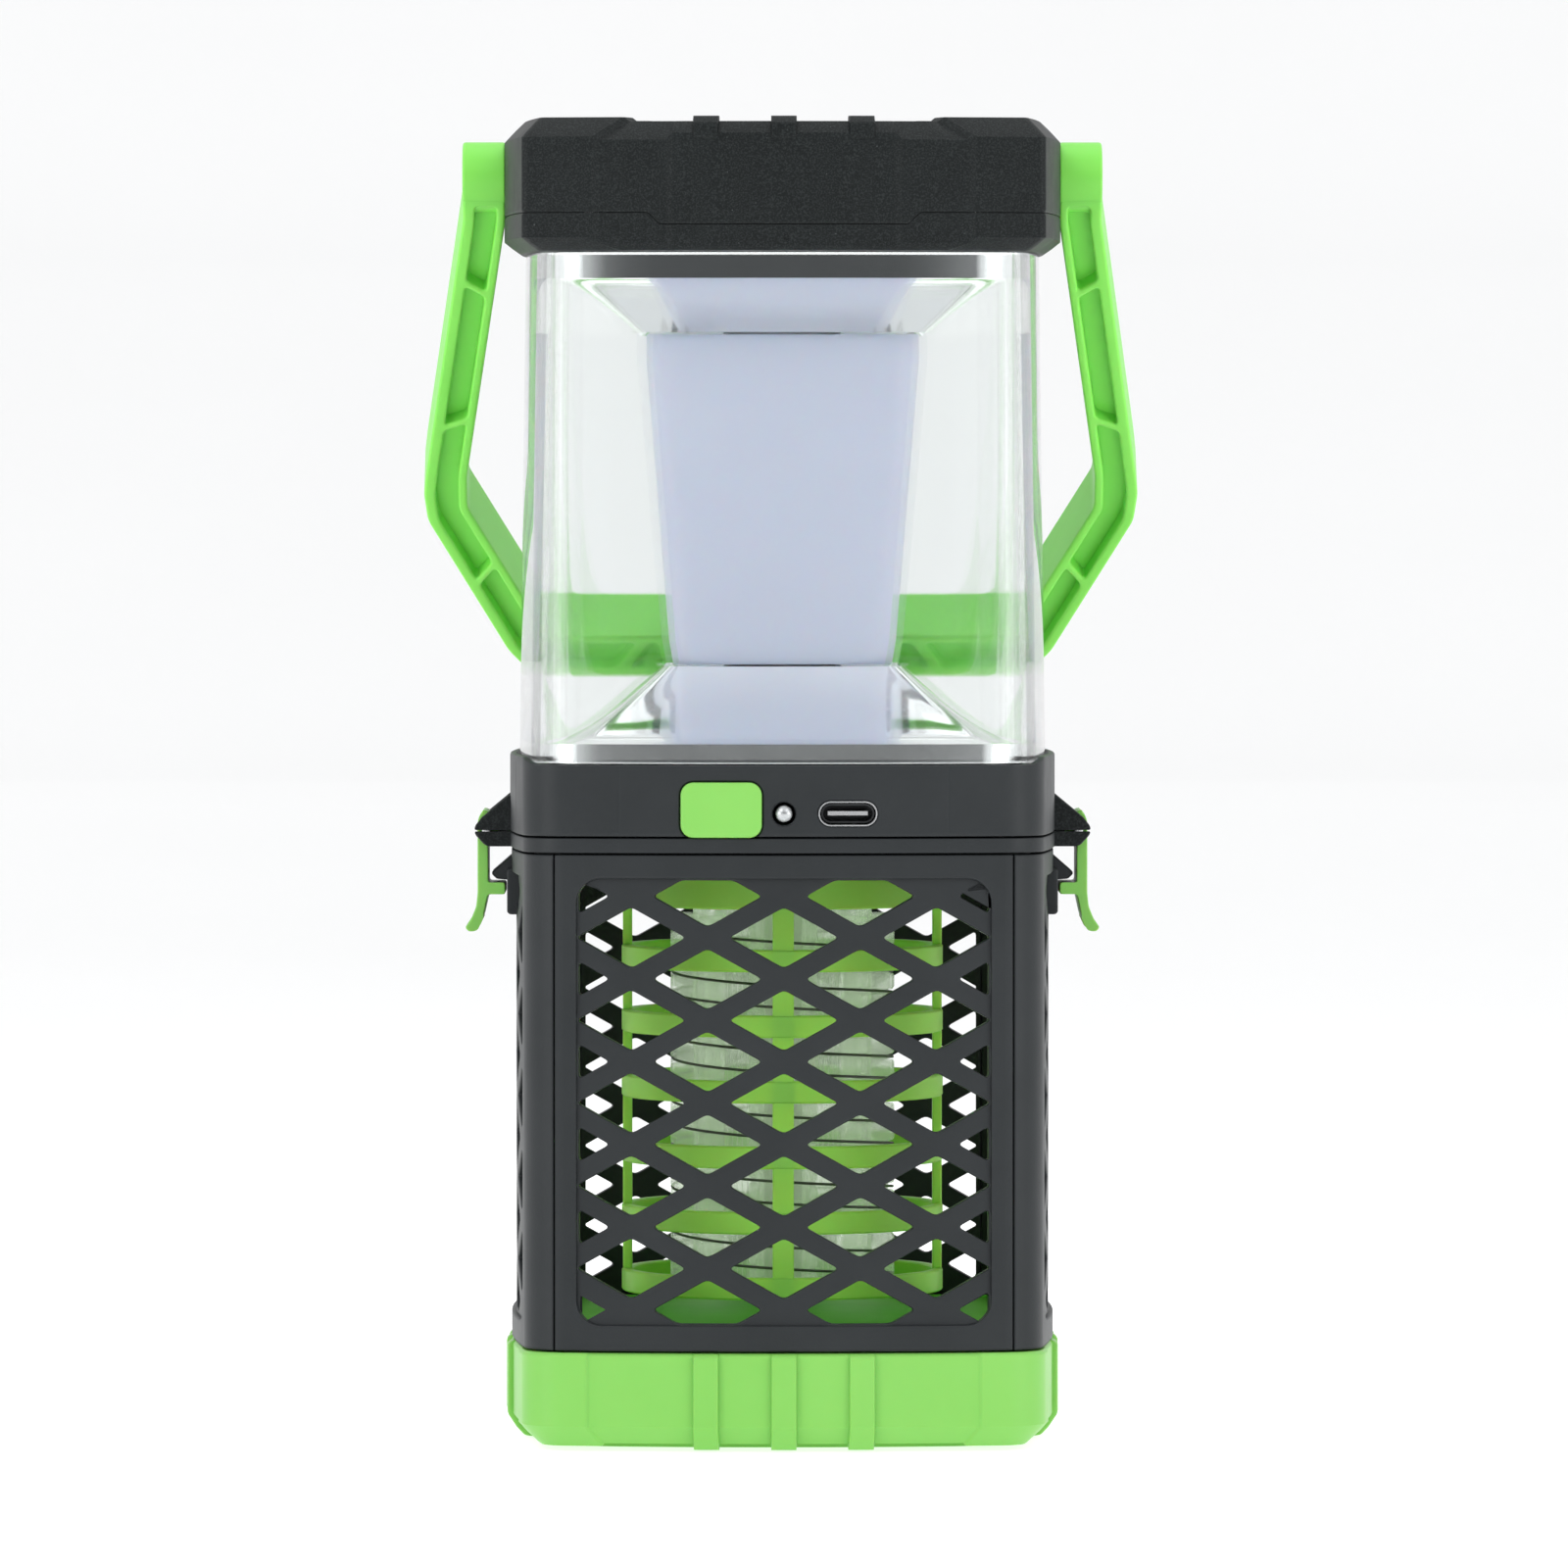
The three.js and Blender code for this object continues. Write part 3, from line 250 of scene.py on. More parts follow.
def dress(piece, slot, body, finish, replaced, sharp):
    mesh = piece.data
    mesh.polygons.foreach_set("use_smooth", [True] * len(mesh.polygons))
    mesh.set_sharp_from_angle(angle=math.radians(sharp))
    mesh.materials.clear()
    mesh.materials.append(FINISH[finish or SLOT_FINISH[slot]])
    weighted = piece.modifiers.new("weighted", "WEIGHTED_NORMAL")
    weighted.keep_sharp = True
    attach(piece, body)
    if replaced:
        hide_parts(*replaced)


def join_loops(bm, loops, closed=False):
    """A skin through loops of equal length; ends are filled unless the loops close on themselves."""
    rows = [[bm.verts.new(p) for p in loop] for loop in loops]
    pairs = list(zip(rows, rows[1:]))
    if closed:
        pairs.append((rows[-1], rows[0]))
    for low, high in pairs:
        for i in range(len(low)):
            j = (i + 1) % len(low)
            bm.faces.new((low[i], low[j], high[j], high[i]))
    if not closed:
        bm.faces.new(rows[0])
        bm.faces.new(rows[-1])


def rounded_rect(x0, x1, z0, z1, radius, steps=8):
    points = []
    for cx, cz, turn in ((x1, z1, 0), (x0, z1, 90), (x0, z0, 180), (x1, z0, 270)):
        sx = -1 if cx == x1 else 1
        sz = -1 if cz == z1 else 1
        for i in range(steps + 1):
            a = math.radians(turn + 90 * i / steps)
            points.append((cx + sx * radius + radius * math.cos(a), cz + sz * radius + radius * math.sin(a)))
    return points


def fillet(points, radius, steps=4):
    """Rounds each corner of a closed outline."""
    made = []
    count = len(points)
    for i, here in enumerate(points):
        here = Vector(here)
        before = Vector(points[i - 1]) - here
        after = Vector(points[(i + 1) % count]) - here
        reach = min(radius, before.length * 0.45, after.length * 0.45)
        start = here + before.normalized() * reach
        end = here + after.normalized() * reach
        for k in range(steps + 1):
            t = k / steps
            made.append((start * (1 - t) ** 2 + here * 2 * t * (1 - t) + end * t * t)[:])
    return made


def rod_loops(axis, centre, radius, start, end, edge=0.3, sides=40):
    """Loops of a round rod with rounded rims along an axis."""
    loops = []
    profile = [(start, radius - edge), (start + edge * 0.3, radius - edge * 0.3), (start + edge, radius),
               (end - edge, radius), (end - edge * 0.3, radius - edge * 0.3), (end, radius - edge)]
    for along, r in profile:
        loop = []
        for i in range(sides):
            a = 2 * math.pi * i / sides
            u, v = r * math.cos(a), r * math.sin(a)
            place = {"x": (along, centre[0] + u, centre[1] + v), "y": (centre[0] + u, along, centre[1] + v),
                     "z": (centre[0] + u, centre[1] + v, along)}[axis]
            loop.append(place)
        loops.append(loop)
    return loops


def outline_frame(half, radius=CORNER_RADIUS):
    """Centre of a side's arc, centre of the corner arc and the angle where they meet."""
    centre = half - BOW_RADIUS
    inner = BOW_RADIUS - radius
    corner = (centre + math.sqrt(2 * inner ** 2 - centre ** 2)) / 2
    return centre, corner, math.atan2(corner, corner - centre)


def turn(point, quarter):
    x, y = point
    for _ in range(quarter % 4):
        x, y = -y, x
    return x, y


def side_place(half, along, inset=0.0, radius=CORNER_RADIUS):
    """A point on the side that faces -Y, at a distance along its arc and then round the corner."""
    centre, corner, swing = outline_frame(half, radius)
    length = BOW_RADIUS * swing
    sign = -1 if along < 0 else 1
    reach = abs(along)
    if reach <= length:
        a = reach / BOW_RADIUS
        x, y = BOW_RADIUS * math.sin(a), -centre - BOW_RADIUS * math.cos(a)
    else:
        a = swing + (reach - length) / radius
        x, y = corner + radius * math.sin(a), -corner - radius * math.cos(a)
    return sign * (x - inset * math.sin(a)), y + inset * math.cos(a)


def corner_stations(half, radius):
    """Distances of the corner samples past a side's end, up to the diagonal."""
    swing = outline_frame(half, radius)[2]
    length = BOW_RADIUS * swing
    half_corner = radius * (math.pi / 4 - swing)
    return length, [length + half_corner * i / CORNER_STEPS * 2 for i in range(CORNER_STEPS // 2 + 1)]


def belt(bm, half, stops, rows, radius=CORNER_RADIUS, side_rows=None):
    """A shell round the bowed square. Each row gives (inset, height, shift, scale) at a distance along
    a side. Round corners are offset; tight ones are scaled, so that deep insets stay clean."""
    tight = radius < 4
    length, corner = corner_stations(half, radius)
    inside = sorted({s for s in stops if s < length - 0.3} | {0.0})
    reach = inside[1:] + corner
    stations = [-s for s in reversed(reach)] + [0.0] + reach
    loops = []
    for front_row, side_row in zip(rows, side_rows or rows):
        loop = []
        for quarter in range(4):
            row = side_row if quarter % 2 else front_row
            for along in stations[:-1]:
                inset, z, shift, scale = row(abs(along))
                moved = along - math.copysign(shift, along) if abs(along) < length else along
                if tight:
                    x, y = side_place(half, moved, 0.0, radius)
                    scale *= 1 - inset / half
                else:
                    x, y = side_place(half, moved, inset, radius)
                x, y = turn((x, y), quarter)
                loop.append((x * scale, y * scale, z))
        loops.append(loop)
    join_loops(bm, loops, closed=True)


def blunt(rows):
    """The same rows for the side faces, where the corner block's section runs the whole way across."""
    return [lambda along, row=row: row(max(along, 36.6)) for row in rows]


def level(inset, z, scale=1.0):
    return lambda along: (inset, z, 0.0, scale)


PLAIN_STOPS = (0, 4, 8, 12, 16, 20, 24, 28, 32, 35)


# ---- cap: two black shells with stepped sides, corner blocks and ribbed edges ----
CAP_STOPS = (0, 4, 8, 12, 16, 18.6, 18.9, 19.1, 19.5, 19.9, 20.1, 20.5, 21, 21.4, 22.2, 23, 23.4,
             24.5, 27, 29.5, 31.0, 31.25, 31.4, 31.75, 32.1, 32.25, 32.6, 34, 35.5, 37, 38.5, 40, 41.5, 42.5)


def cap_step(along):
    return 0.95 - 0.45 * ease(18.9, 20.1, along) - 0.50 * ease(31.25, 32.25, along)


def cap_zone(along, centre, side, corner):
    value = mix(centre, side, smooth(18.9, 20.1, along))
    return mix(value, corner, smooth(31.2, 32.25, along))


def cap_shift(along, share):
    """The corner block's edge leans inward on the chamfers."""
    return 3.3 * share * smooth(24, 31, along) * (1 - smooth(32.3, 36.5, along))


def cap_seam(along):
    return CAP_SEAM + 1.95 * smooth(20.9, 23.4, along)


def cap_upper_row(kind, share):
    """A row of the upper shell, at a share of the way up its seam, wall, chamfer or rim."""
    def row(along):
        start = cap_zone(along, 220.75, 219.6, 220.1)
        end = cap_zone(along, 222.7, 222.75, 223.4)
        depth = cap_zone(along, 1.8, 2.9, 3.2)
        inset = cap_step(along)
        if kind == "seam":
            return inset + mix(0.16, 0.0, share), cap_seam(along) + mix(SEAM_GAP, 0.45, share), 0.0, 1.0
        if kind == "wall":
            return inset, mix(cap_seam(along) + 0.45, start - 0.35, share), 0.0, 1.0
        if kind == "chamfer":
            soft = 0.10 * (1 - abs(2 * share - 1))
            groove = 0.22 * math.exp(-((along - 31.0) / 0.35) ** 2) * smooth(0, 0.3, share)
            return inset + depth * share - soft + groove, mix(start, end, share), cap_shift(along, share), 1.0
        fall = mix(end, CAP_DECK, smooth(32, 24.5, along) if along < 24.5 else 0.0)
        return inset + depth + mix(0.3, 2.5, share), fall + 0.05 * (1 - share), cap_shift(along, 1.0), 1.0
    return row


def cap_lower_row(kind, share):
    """A row of the lower shell, at a share of the way down its seam, wall or chamfer."""
    def row(along):
        inset, seam, start = cap_step(along), cap_seam(along), lower_start(along)
        if kind == "seam":
            return inset + mix(0.16, 0, share), seam - mix(SEAM_GAP, 0.45, share), 0.0, 1.0
        if kind == "wall":
            return inset, mix(seam - 0.45, start + 0.3, share), 0.0, 1.0
        depth = lower_depth(along)
        if kind == "chamfer":
            soft = 0.12 * (1 - abs(2 * share - 1))
            z = mix(start, CAP_BOTTOM + 0.05, share)
            return inset + depth * share - soft, z, cap_shift(along, share * 0.8), 1.0
        return inset + depth + 0.4, CAP_BOTTOM, cap_shift(along, 0.8), 1.0
    return row


def make_cap():
    bm = bmesh.new()
    rows = [level(3.4, 209), cap_upper_row("seam", 0), cap_upper_row("seam", 0.7), cap_upper_row("seam", 1)]
    rows += [cap_upper_row("wall", s) for s in (0.04, 0.3, 0.6, 0.96, 1)]
    rows += [cap_upper_row("chamfer", s) for s in (0, 0.06, 0.35, 0.65, 0.94, 1)]
    rows += [cap_upper_row("rim", s) for s in (0, 1)]
    rows += [level(7.6, CAP_DECK), level(0, CAP_DECK, 0.80), level(0, 222.55, 0.795),
             level(0, 221.85, 0.79), level(0, CAP_TRAY, 0.5), level(0, CAP_TRAY, 0.05),
             level(0, 219.4, 0.05), level(0, 219.2, 0.8), level(3.4, 218)]
    belt(bm, CAP_HALF, CAP_STOPS, rows, CAP_CORNER, blunt(rows))
    add_piece("cap_upper_shell", bm, "black_plastic", replaced=("cap_upper",), sharp=20)

    bm = bmesh.new()
    rows = [level(3.4, 204.6)]
    rows += [cap_lower_row("seam", s) for s in (0, 0.7, 1)]
    rows += [cap_lower_row("wall", s) for s in (0.1, 0.9, 1)]
    rows += [cap_lower_row("chamfer", s) for s in (0, 0.1, 0.5, 0.9, 1)]
    rows += [cap_lower_row("foot", 1), level(6.5, CAP_BOTTOM), level(0, CAP_BOTTOM, 0.7),
             level(0, CAP_BOTTOM, 0.1), level(0, 203.2, 0.1), level(0, 203.2, 0.7), level(3.6, 203.6)]
    belt(bm, CAP_HALF, CAP_STOPS, rows, CAP_CORNER, blunt(rows))
    lower = add_piece("cap_lower_shell", bm, "black_plastic", replaced=("cap_lower",), sharp=20)
    dimple = bmesh.new()
    join_loops(dimple, rod_loops("y", (0.4, 203.3), 0.6, -50, -46.2, 0.1, 20))
    carve(lower, dimple)
    profile = [(-1.2, 219.0), (0.3, 219.9), (0.3, 222.35), (-1.2, 223.62), (-4.6, 223.62),
               (-5.6, 222.3), (-3, 219)]
    make_ribs("cap_ribs", CAP_HALF - 0.95, "black_plastic", profile, (0, 2))


def lower_start(along):
    return cap_zone(along, 201.75, 202.35, 203.3)


def lower_depth(along):
    return cap_zone(along, 0.55, 1.2, 2.9)


def softened(half, near, far, end, shoulder):
    """Stations across a bar, with how much its ends and shoulders shrink."""
    right = [(half - far, 0), (half - near, shoulder), (half, end)]
    return [(-across, shrink) for across, shrink in reversed(right)] + right


def make_ribs(name, half, slot, profile, quarters):
    """Short upright ribs: a profile of (proud, height) run across the rib's width on some of the sides."""
    bm = bmesh.new()
    for quarter in quarters:
        for place in RIB_PLACES:
            loops = []
            for across, shrink in softened(RIB_WIDTH / 2, 0.12, 0.45, 0.5, 0.14):
                loop = []
                for proud, z in fillet(profile, 0.45, 3):
                    inner = shrink if proud > -2.8 else 0
                    x, y = side_place(half, place + across, -(proud - inner))
                    x, y = turn((x, y), quarter)
                    loop.append((x, y, z))
                loops.append(loop)
            join_loops(bm, loops)
    return add_piece(name, bm, slot)


def carve(piece, cutter_mesh):
    """Cuts a closed shape, drawn in millimetres, out of a piece."""
    bmesh.ops.recalc_face_normals(cutter_mesh, faces=cutter_mesh.faces)
    bmesh.ops.scale(cutter_mesh, vec=(MM, MM, MM), verts=cutter_mesh.verts)
    mesh = bpy.data.meshes.new("cutter")
    cutter_mesh.to_mesh(mesh)
    cutter_mesh.free()
    cutter = bpy.data.objects.new("cutter", mesh)
    bpy.context.scene.collection.objects.link(cutter)
    cut = piece.modifiers.new("cut", "BOOLEAN")
    cut.operation = "DIFFERENCE"
    cut.object = cutter
    cut.solver = "EXACT"
    piece.modifiers.move(len(piece.modifiers) - 1, 0)
    bpy.context.view_layer.update()
    weighted = piece.modifiers["weighted"]
    weighted.show_viewport = False
    evaluated = piece.evaluated_get(bpy.context.evaluated_depsgraph_get())
    result = bpy.data.meshes.new_from_object(evaluated)
    piece.modifiers.remove(cut)
    piece.data = result
    weighted.show_viewport = True
    bpy.data.objects.remove(cutter)
    result.polygons.foreach_set("use_smooth", [True] * len(result.polygons))
    result.set_sharp_from_angle(angle=math.radians(30))


# ---- base: a shallow green cover under the cage ----
BASE_STOPS = (0, 5, 10, 15, 20, 25, 28, 31, 32.6, 32.85, 33.1, 33.35, 33.6, 35)


def base_panel(along):
    return 0.5 - 0.5 * smooth(32.75, 33.4, along)


def base_row(share):
    def row(along):
        panel = smooth(32.75, 33.4, along)
        depth = mix(2.9, 3.5, panel)
        z = mix(4.2, mix(1.2, 0.7, panel), share)
        shift = 2.2 * share * smooth(26, 32.5, along) * (1 - smooth(33.4, 36.5, along))
        return base_panel(along) + depth * share - 0.14 * (1 - abs(2 * share - 1)), z, shift, 1.0
    return row


def make_base():
    bm = bmesh.new()
    rows = [level(0, 3.4, 0.1), level(0, 0.0, 0.1), level(0, 0.0, 0.775), level(0, 0.15, 0.782),
            level(0, 0.95, 0.785), level(7.2, 1.0)]
    rows.append(lambda a: (base_row(1)(a)[0] + 0.5, base_row(1)(a)[1] - 0.03, base_row(1)(a)[2], 1.0))
    rows += [base_row(s) for s in (1, 0.93, 0.5, 0.07, 0)]
    rows += [lambda a, z=z: (base_panel(a), z, 0.0, 1.0) for z in (4.5, 8, 12, 15.85)]
    edge = ((0.1, 16.15), (0.45, 16.5), (0.7, 16.6))
    rows += [lambda a, d=d, z=z: (base_panel(a) + d, z, 0.0, 1.0) for d, z in edge]
    rows += [level(3.0, 16.6), level(3.2, 16.4), level(3.2, 7), level(6.5, 3.4)]
    belt(bm, BASE_HALF, BASE_STOPS, rows)
    add_piece("base_shell", bm, "green_plastic", replaced=("base_cover",))
    profile = [(-1.5, 16.55), (0.1, 16.55), (0.92, 15.9), (0.92, 4.0), (-0.6, 1.7), (-2.0, 0.25),
               (-3.6, 0.1), (-5.0, 0.8), (-5.0, 5.0), (-1.5, 9.0)]
    make_ribs("base_ribs", BASE_HALF - 0.5, "green_plastic", profile, range(4))


# ---- collar: the black belt with the controls ----
def make_collar():
    bm = bmesh.new()
    stops = (0, 5, 10, 15, 20, 25, 27.2, 27.5, 27.7, 28, 32, 35, 36)

    def wall(z):
        return lambda a: (0.10 * math.exp(-((a - 27.6) / 0.16) ** 2), z, 0.0, 1.0)

    def flat_lip(extra, inset):
        return lambda a: (inset, COLLAR_TOP + extra * LIP_START, 0.0, 1.0)

    def side_lip(extra, inset):
        return lambda a: (inset, COLLAR_TOP + extra * (LIP_START + 0.80 * ease(42.4, 37.4, a)), 0.0, 1.0)

    low = [level(2.2, 103.2), level(0.3, 103.12), level(0.06, 103.2), level(0, 103.4)]
    low += [wall(z) for z in (103.9, 107, 111, 114.3)]
    high = [level(1.35, COLLAR_TOP), level(7.8, COLLAR_TOP), level(0, COLLAR_TOP, 0.5),
            level(0, COLLAR_TOP, 0.2), level(0, 113.4, 0.2), level(0, 113.4, 0.8), level(3, 112.8)]
    lips = ((1.15, 0.0), (1.45, 0.12), (1.6, 0.45), (1.6, 1.0))
    rows = low + [flat_lip(*lip) for lip in lips] + high
    side_rows = low + [side_lip(*lip) for lip in lips] + high
    belt(bm, COLLAR_HALF, stops, rows, CORNER_RADIUS, side_rows)
    housing = add_piece("collar_shell", bm, "black_plastic", finish="satin", replaced=("collar_housing",))
    mouth(housing, rounded_hole(-10.5, 107.6, 6.95, 4.78, 2.3))
    mouth(housing, rounded_hole(0.0, LAMP_Z, 1.95, 1.95, 1.94))
    mouth(housing, rounded_hole(*INLET_PLACE, 5.0, 2.15, 2.14))

    bm = bmesh.new()
    floor, split = COLLAR_FLOOR, COLLAR_SPLIT_LOW
    rows = [level(0.35, floor), level(0.05, floor + 0.1), level(0, 100.7), level(0, 102.4),
            level(0.06, split - 0.12), level(0.3, split), level(7.5, split), level(0, split, 0.5),
            level(0, split, 0.16), level(0, floor, 0.16), level(0, floor, 0.5), level(7.5, floor)]
    belt(bm, COLLAR_HALF, stops, rows)
    add_piece("collar_floor_plate", bm, "black_plastic", finish="satin", replaced=("collar_floor",))
    make_rim()
    make_ears()
    bm = bmesh.new()
    rows = [level(2.7, 98.6), level(4.2, 98.6), level(4.2, 100.34), level(2.7, 100.34)]
    belt(bm, COLLAR_HALF, PLAIN_STOPS, rows)
    add_piece("collar_skirt", bm, "black_plastic")


def bow(x):
    return BOW_RADIUS - math.sqrt(BOW_RADIUS ** 2 - x * x)


def rounded_hole(x, z, half_width, half_height, radius):
    return lambda grow: rounded_rect(x - half_width - grow, x + half_width + grow, z - half_height - grow,
                                     z + half_height + grow, radius + grow)


def mouth(piece, shape):
    """Cuts a hole with a small chamfer round its mouth into the front wall."""
    bm = bmesh.new()
    loops = []
    for depth, grow in ((-6, 0.0), (-0.22, 0.0), (1.0, 1.22)):
        loops.append([(x, -COLLAR_HALF - depth + bow(x), z) for x, z in shape(grow)])
    join_loops(bm, loops)
    carve(piece, bm)


def make_rim():
    """A thin bright rim stands round the charging inlet."""
    shape = rounded_hole(*INLET_PLACE, 4.86, 2.0, 2.0)
    section = ((-1.6, 0.13), (-0.06, 0.13), (0.05, 0.07), (0.05, -0.12), (-0.08, -0.18), (-1.6, -0.18))
    bm = bmesh.new()
    loops = []
    for depth, grow in section:
        loops.append([(x, -COLLAR_HALF - depth + bow(x), z) for x, z in shape(grow)])
    join_loops(bm, loops, closed=True)
    add_piece("inlet_rim", bm, "steel")


def make_ears():
    """Pairs of pointed ears carry the latches; they are split with the collar."""
    root = 45.2
    outline = [(root, 109.2), (46.6, 109.2), (51.3, 105.3), (52.4, 103.9), (52.6, 103.0), (52.3, 102.2),
               (50.9, 100.7), (50.3, COLLAR_FLOOR), (root, COLLAR_FLOOR)]
    for part, low, high in (("ears_upper", COLLAR_SPLIT, 110), ("ears_lower", 100, COLLAR_SPLIT_LOW)):
        bm = bmesh.new()
        for side in (-1, 1):
            for cheek in (-1, 1):
                shape = fillet(clip(outline, ((1, low, 1), (1, high, -1))), 0.35, 3)
                loops = []
                for y, shrink in ((7.3, 0.3), (7.45, 0.08), (7.7, 0), (8.9, 0), (9.15, 0.08), (9.3, 0.3)):
                    loops.append([(side * max(x - shrink, root), cheek * y, z) for x, z in shape])
                join_loops(bm, loops)
        add_piece(part, bm, "black_plastic")


def clip(points, limits):
    """The part of a convex outline within limits, each (axis, value, 1 to keep above or -1 below)."""
    for axis, limit, keep in limits:
        made = []
        for i, here in enumerate(points):
            after = points[(i + 1) % len(points)]
            a, b = keep * (here[axis] - limit), keep * (after[axis] - limit)
            if a >= 0:
                made.append(here)
            if a * b < 0:
                t = a / (a - b)
                made.append((mix(here[0], after[0], t), mix(here[1], after[1], t)))
        points = made
    return points


def make_controls():
    bm = bmesh.new()
    x, z = BUTTON_PLACE
    loops = []
    for proud, grow in ((-2.6, 0.0), (0.15, 0.0), (0.32, -0.06), (0.43, -0.2), (0.48, -0.45),
                        (0.49, -2.0), (0.49, -3.6)):
        radius = max(2.15 + grow, 0.3)
        shape = rounded_rect(x - 6.8 - grow, x + 6.8 + grow, z - 4.64 - grow, z + 4.62 + grow, radius)
        loops.append([(px, -COLLAR_HALF - proud + bow(px), pz) for px, pz in shape])
    join_loops(bm, loops)
    add_piece("button_cap", bm, "green_plastic", "power_button", replaced=("power_button",))

    dome = ((-42, 1.5), (-46.0, 1.5), (-46.45, 1.46), (-46.9, 1.32), (-47.25, 1.02), (-47.45, 0.6),
            (-47.5, 0.2))
    core = ((-42.5, 1.3), (-45.9, 1.38), (-46.4, 1.3), (-46.85, 0.95), (-47.1, 0.4))
    for name, profile, sides, slot, replaced in (("led_dome", dome, 32, "clear_plastic", ("status_led",)),
                                                 ("led_core", core, 24, "steel", ())):
        bm = bmesh.new()
        loops = []
        for y, r in profile:
            angles = [a * math.pi / (sides // 2) for a in range(sides)]
            loops.append([(r * math.cos(a), y, LAMP_Z + r * math.sin(a)) for a in angles])
        join_loops(bm, loops)
        add_piece(name, bm, slot, replaced=replaced)


# ---- cage walls: flat outlines with openings, bent round the belt ----
def flat_plate(outer, holes, thickness, bevel):
    """A plate with openings and rounded edges, as a mesh in its own plane."""
    curve = bpy.data.curves.new("outline", "CURVE")
    curve.dimensions = "2D"
    curve.fill_mode = "BOTH"
    curve.extrude = thickness / 2 - bevel
    curve.bevel_depth = bevel
    curve.bevel_resolution = 2
    curve.offset = -bevel
    for points in (outer, *holes):
        spline = curve.splines.new("POLY")
        spline.points.add(len(points) - 1)
        for i, (u, v) in enumerate(points):
            spline.points[i].co = (u, v, 0, 1)
        spline.use_cyclic_u = True
    holder = bpy.data.objects.new("outline", curve)
    bpy.context.scene.collection.objects.link(holder)
    bpy.context.view_layer.update()
    mesh = bpy.data.meshes.new_from_object(holder.evaluated_get(bpy.context.evaluated_depsgraph_get()))
    bm = bmesh.new()
    bm.from_mesh(mesh)
    bpy.data.objects.remove(holder)
    bpy.data.curves.remove(curve)
    bpy.data.meshes.remove(mesh)
    bmesh.ops.remove_doubles(bm, verts=bm.verts, dist=1e-4)
    return bm


def slice_across(bm, places):
    for u in places:
        geometry = bm.verts[:] + bm.edges[:] + bm.faces[:]
        bmesh.ops.bisect_plane(bm, geom=geometry, dist=1e-4, plane_co=(u, 0, 0), plane_no=(1, 0, 0))


def bend(bm, half, quarter, outer_depth, thickness):
    """Wraps a flat plate round the belt; its outer face lies outer_depth inside the outline."""
    for vert in bm.verts:
        u, z, out = vert.co
        x, y = side_place(half, u, outer_depth + thickness / 2 - out)
        x, y = turn((x, y), quarter)
        vert.co = (x, y, z)


def lattice_holes(lift):
    """The diamonds of a lattice, clipped to the window; slits too small to mould are left out."""
    holes = []
    x0, x1, z0, z1 = WINDOW
    margin = 0.3
    inside = ((0, x0 + margin, 1), (0, x1 - margin, -1), (1, z0 + margin, 1), (1, z1 - margin, -1))
    for column in range(-3, 4):
        for row in range(-1, 6):
            u = column * LATTICE_STEP_X
            z = LATTICE_ROW + lift + (column % 2) * LATTICE_STEP_Z / 2 - row * LATTICE_STEP_Z
            diamond = [(u - 9.2, z), (u, z - 5.1), (u + 9.2, z), (u, z + 5.1)]
            shape = clip(diamond, inside)
            if outline_area(shape) >= SMALLEST_HOLE:
                holes.append(fillet(shape, 0.8, 3))
    return holes


def outline_area(points):
    return abs(sum(a[0] * b[1] - b[0] * a[1] for a, b in zip(points, points[1:] + points[:1]))) / 2


def make_cage():
    x0, x1, z0, z1 = WINDOW
    lap, gap, step = 0.7, 0.12, 3.1
    window = rounded_rect(*WINDOW, 4.2, 8)
    edge = rounded_rect(x0 - lap, x1 + lap, z0 - lap, z1 + lap, 4.6, 6)
    swing = outline_frame(CAGE_HALF)[2]
    length = BOW_RADIUS * swing
    corner_length = CORNER_RADIUS * (math.pi / 2 - 2 * swing)
    side_reach = length + corner_length - (CAGE_SEAM - length)
    names = ("cage_front", "cage_right", "cage_rear", "cage_left")
    for quarter, name in enumerate(names):
        reach = (side_reach if quarter % 2 else CAGE_SEAM) - gap
        outer = rounded_rect(-reach, reach, CAGE_BOTTOM, CAGE_TOP, 0.15, 2)
        bm = flat_plate(outer, [window], CAGE_WALL, 0.28)
        cuts = [step * i for i in range(-12, 13)]
        cuts += [s * (length + 0.75 * i) for i in range(0, 15) for s in (-1, 1)]
        slice_across(bm, cuts)
        bend(bm, CAGE_HALF, quarter, 0.0, CAGE_WALL)
        holes = lattice_holes(REAR_LIFT if name == "cage_rear" else 0.0)
        grille = flat_plate(edge, holes, LATTICE_THICKNESS, 0.3)
        slice_across(grille, [step * i for i in range(-11, 12)])
        bend(grille, CAGE_HALF, quarter, LATTICE_SETBACK, LATTICE_THICKNESS)
        merge(bm, grille)
        if quarter % 2:
            add_catch(bm, 1 if quarter == 1 else -1)
        add_piece(name + "_wall", bm, "black_plastic", finish="satin", replaced=(name,), sharp=40)


def merge(bm, other):
    mesh = bpy.data.meshes.new("part")
    other.to_mesh(mesh)
    other.free()
    bm.from_mesh(mesh)
    bpy.data.meshes.remove(mesh)


def add_catch(bm, side):
    """The wedge that the latch's bar hooks under, on a raised pad."""
    root = 44.6
    wedge = fillet([(root, 98.7), (46.4, 98.7), (49.6, 95.9), (49.6, 95.5), (48.8, 94.7), (46.4, 94.5),
                    (root, 94.5)], 0.3, 3)
    pad = fillet([(root, 88.7), (46.6, 88.7), (47.0, 89.1), (47.0, 96.2), (46.6, 96.6), (root, 96.6)], 0.2, 2)
    for outline, half_width in ((wedge, 6.0), (pad, 8.0)):
        loops = []
        edge = half_width - 0.25
        for y, shrink in ((-half_width, 0.3), (-edge, 0), (edge, 0), (half_width, 0.3)):
            loops.append([(side * max(x - shrink, root), y, z) for x, z in outline])
        join_loops(bm, loops)


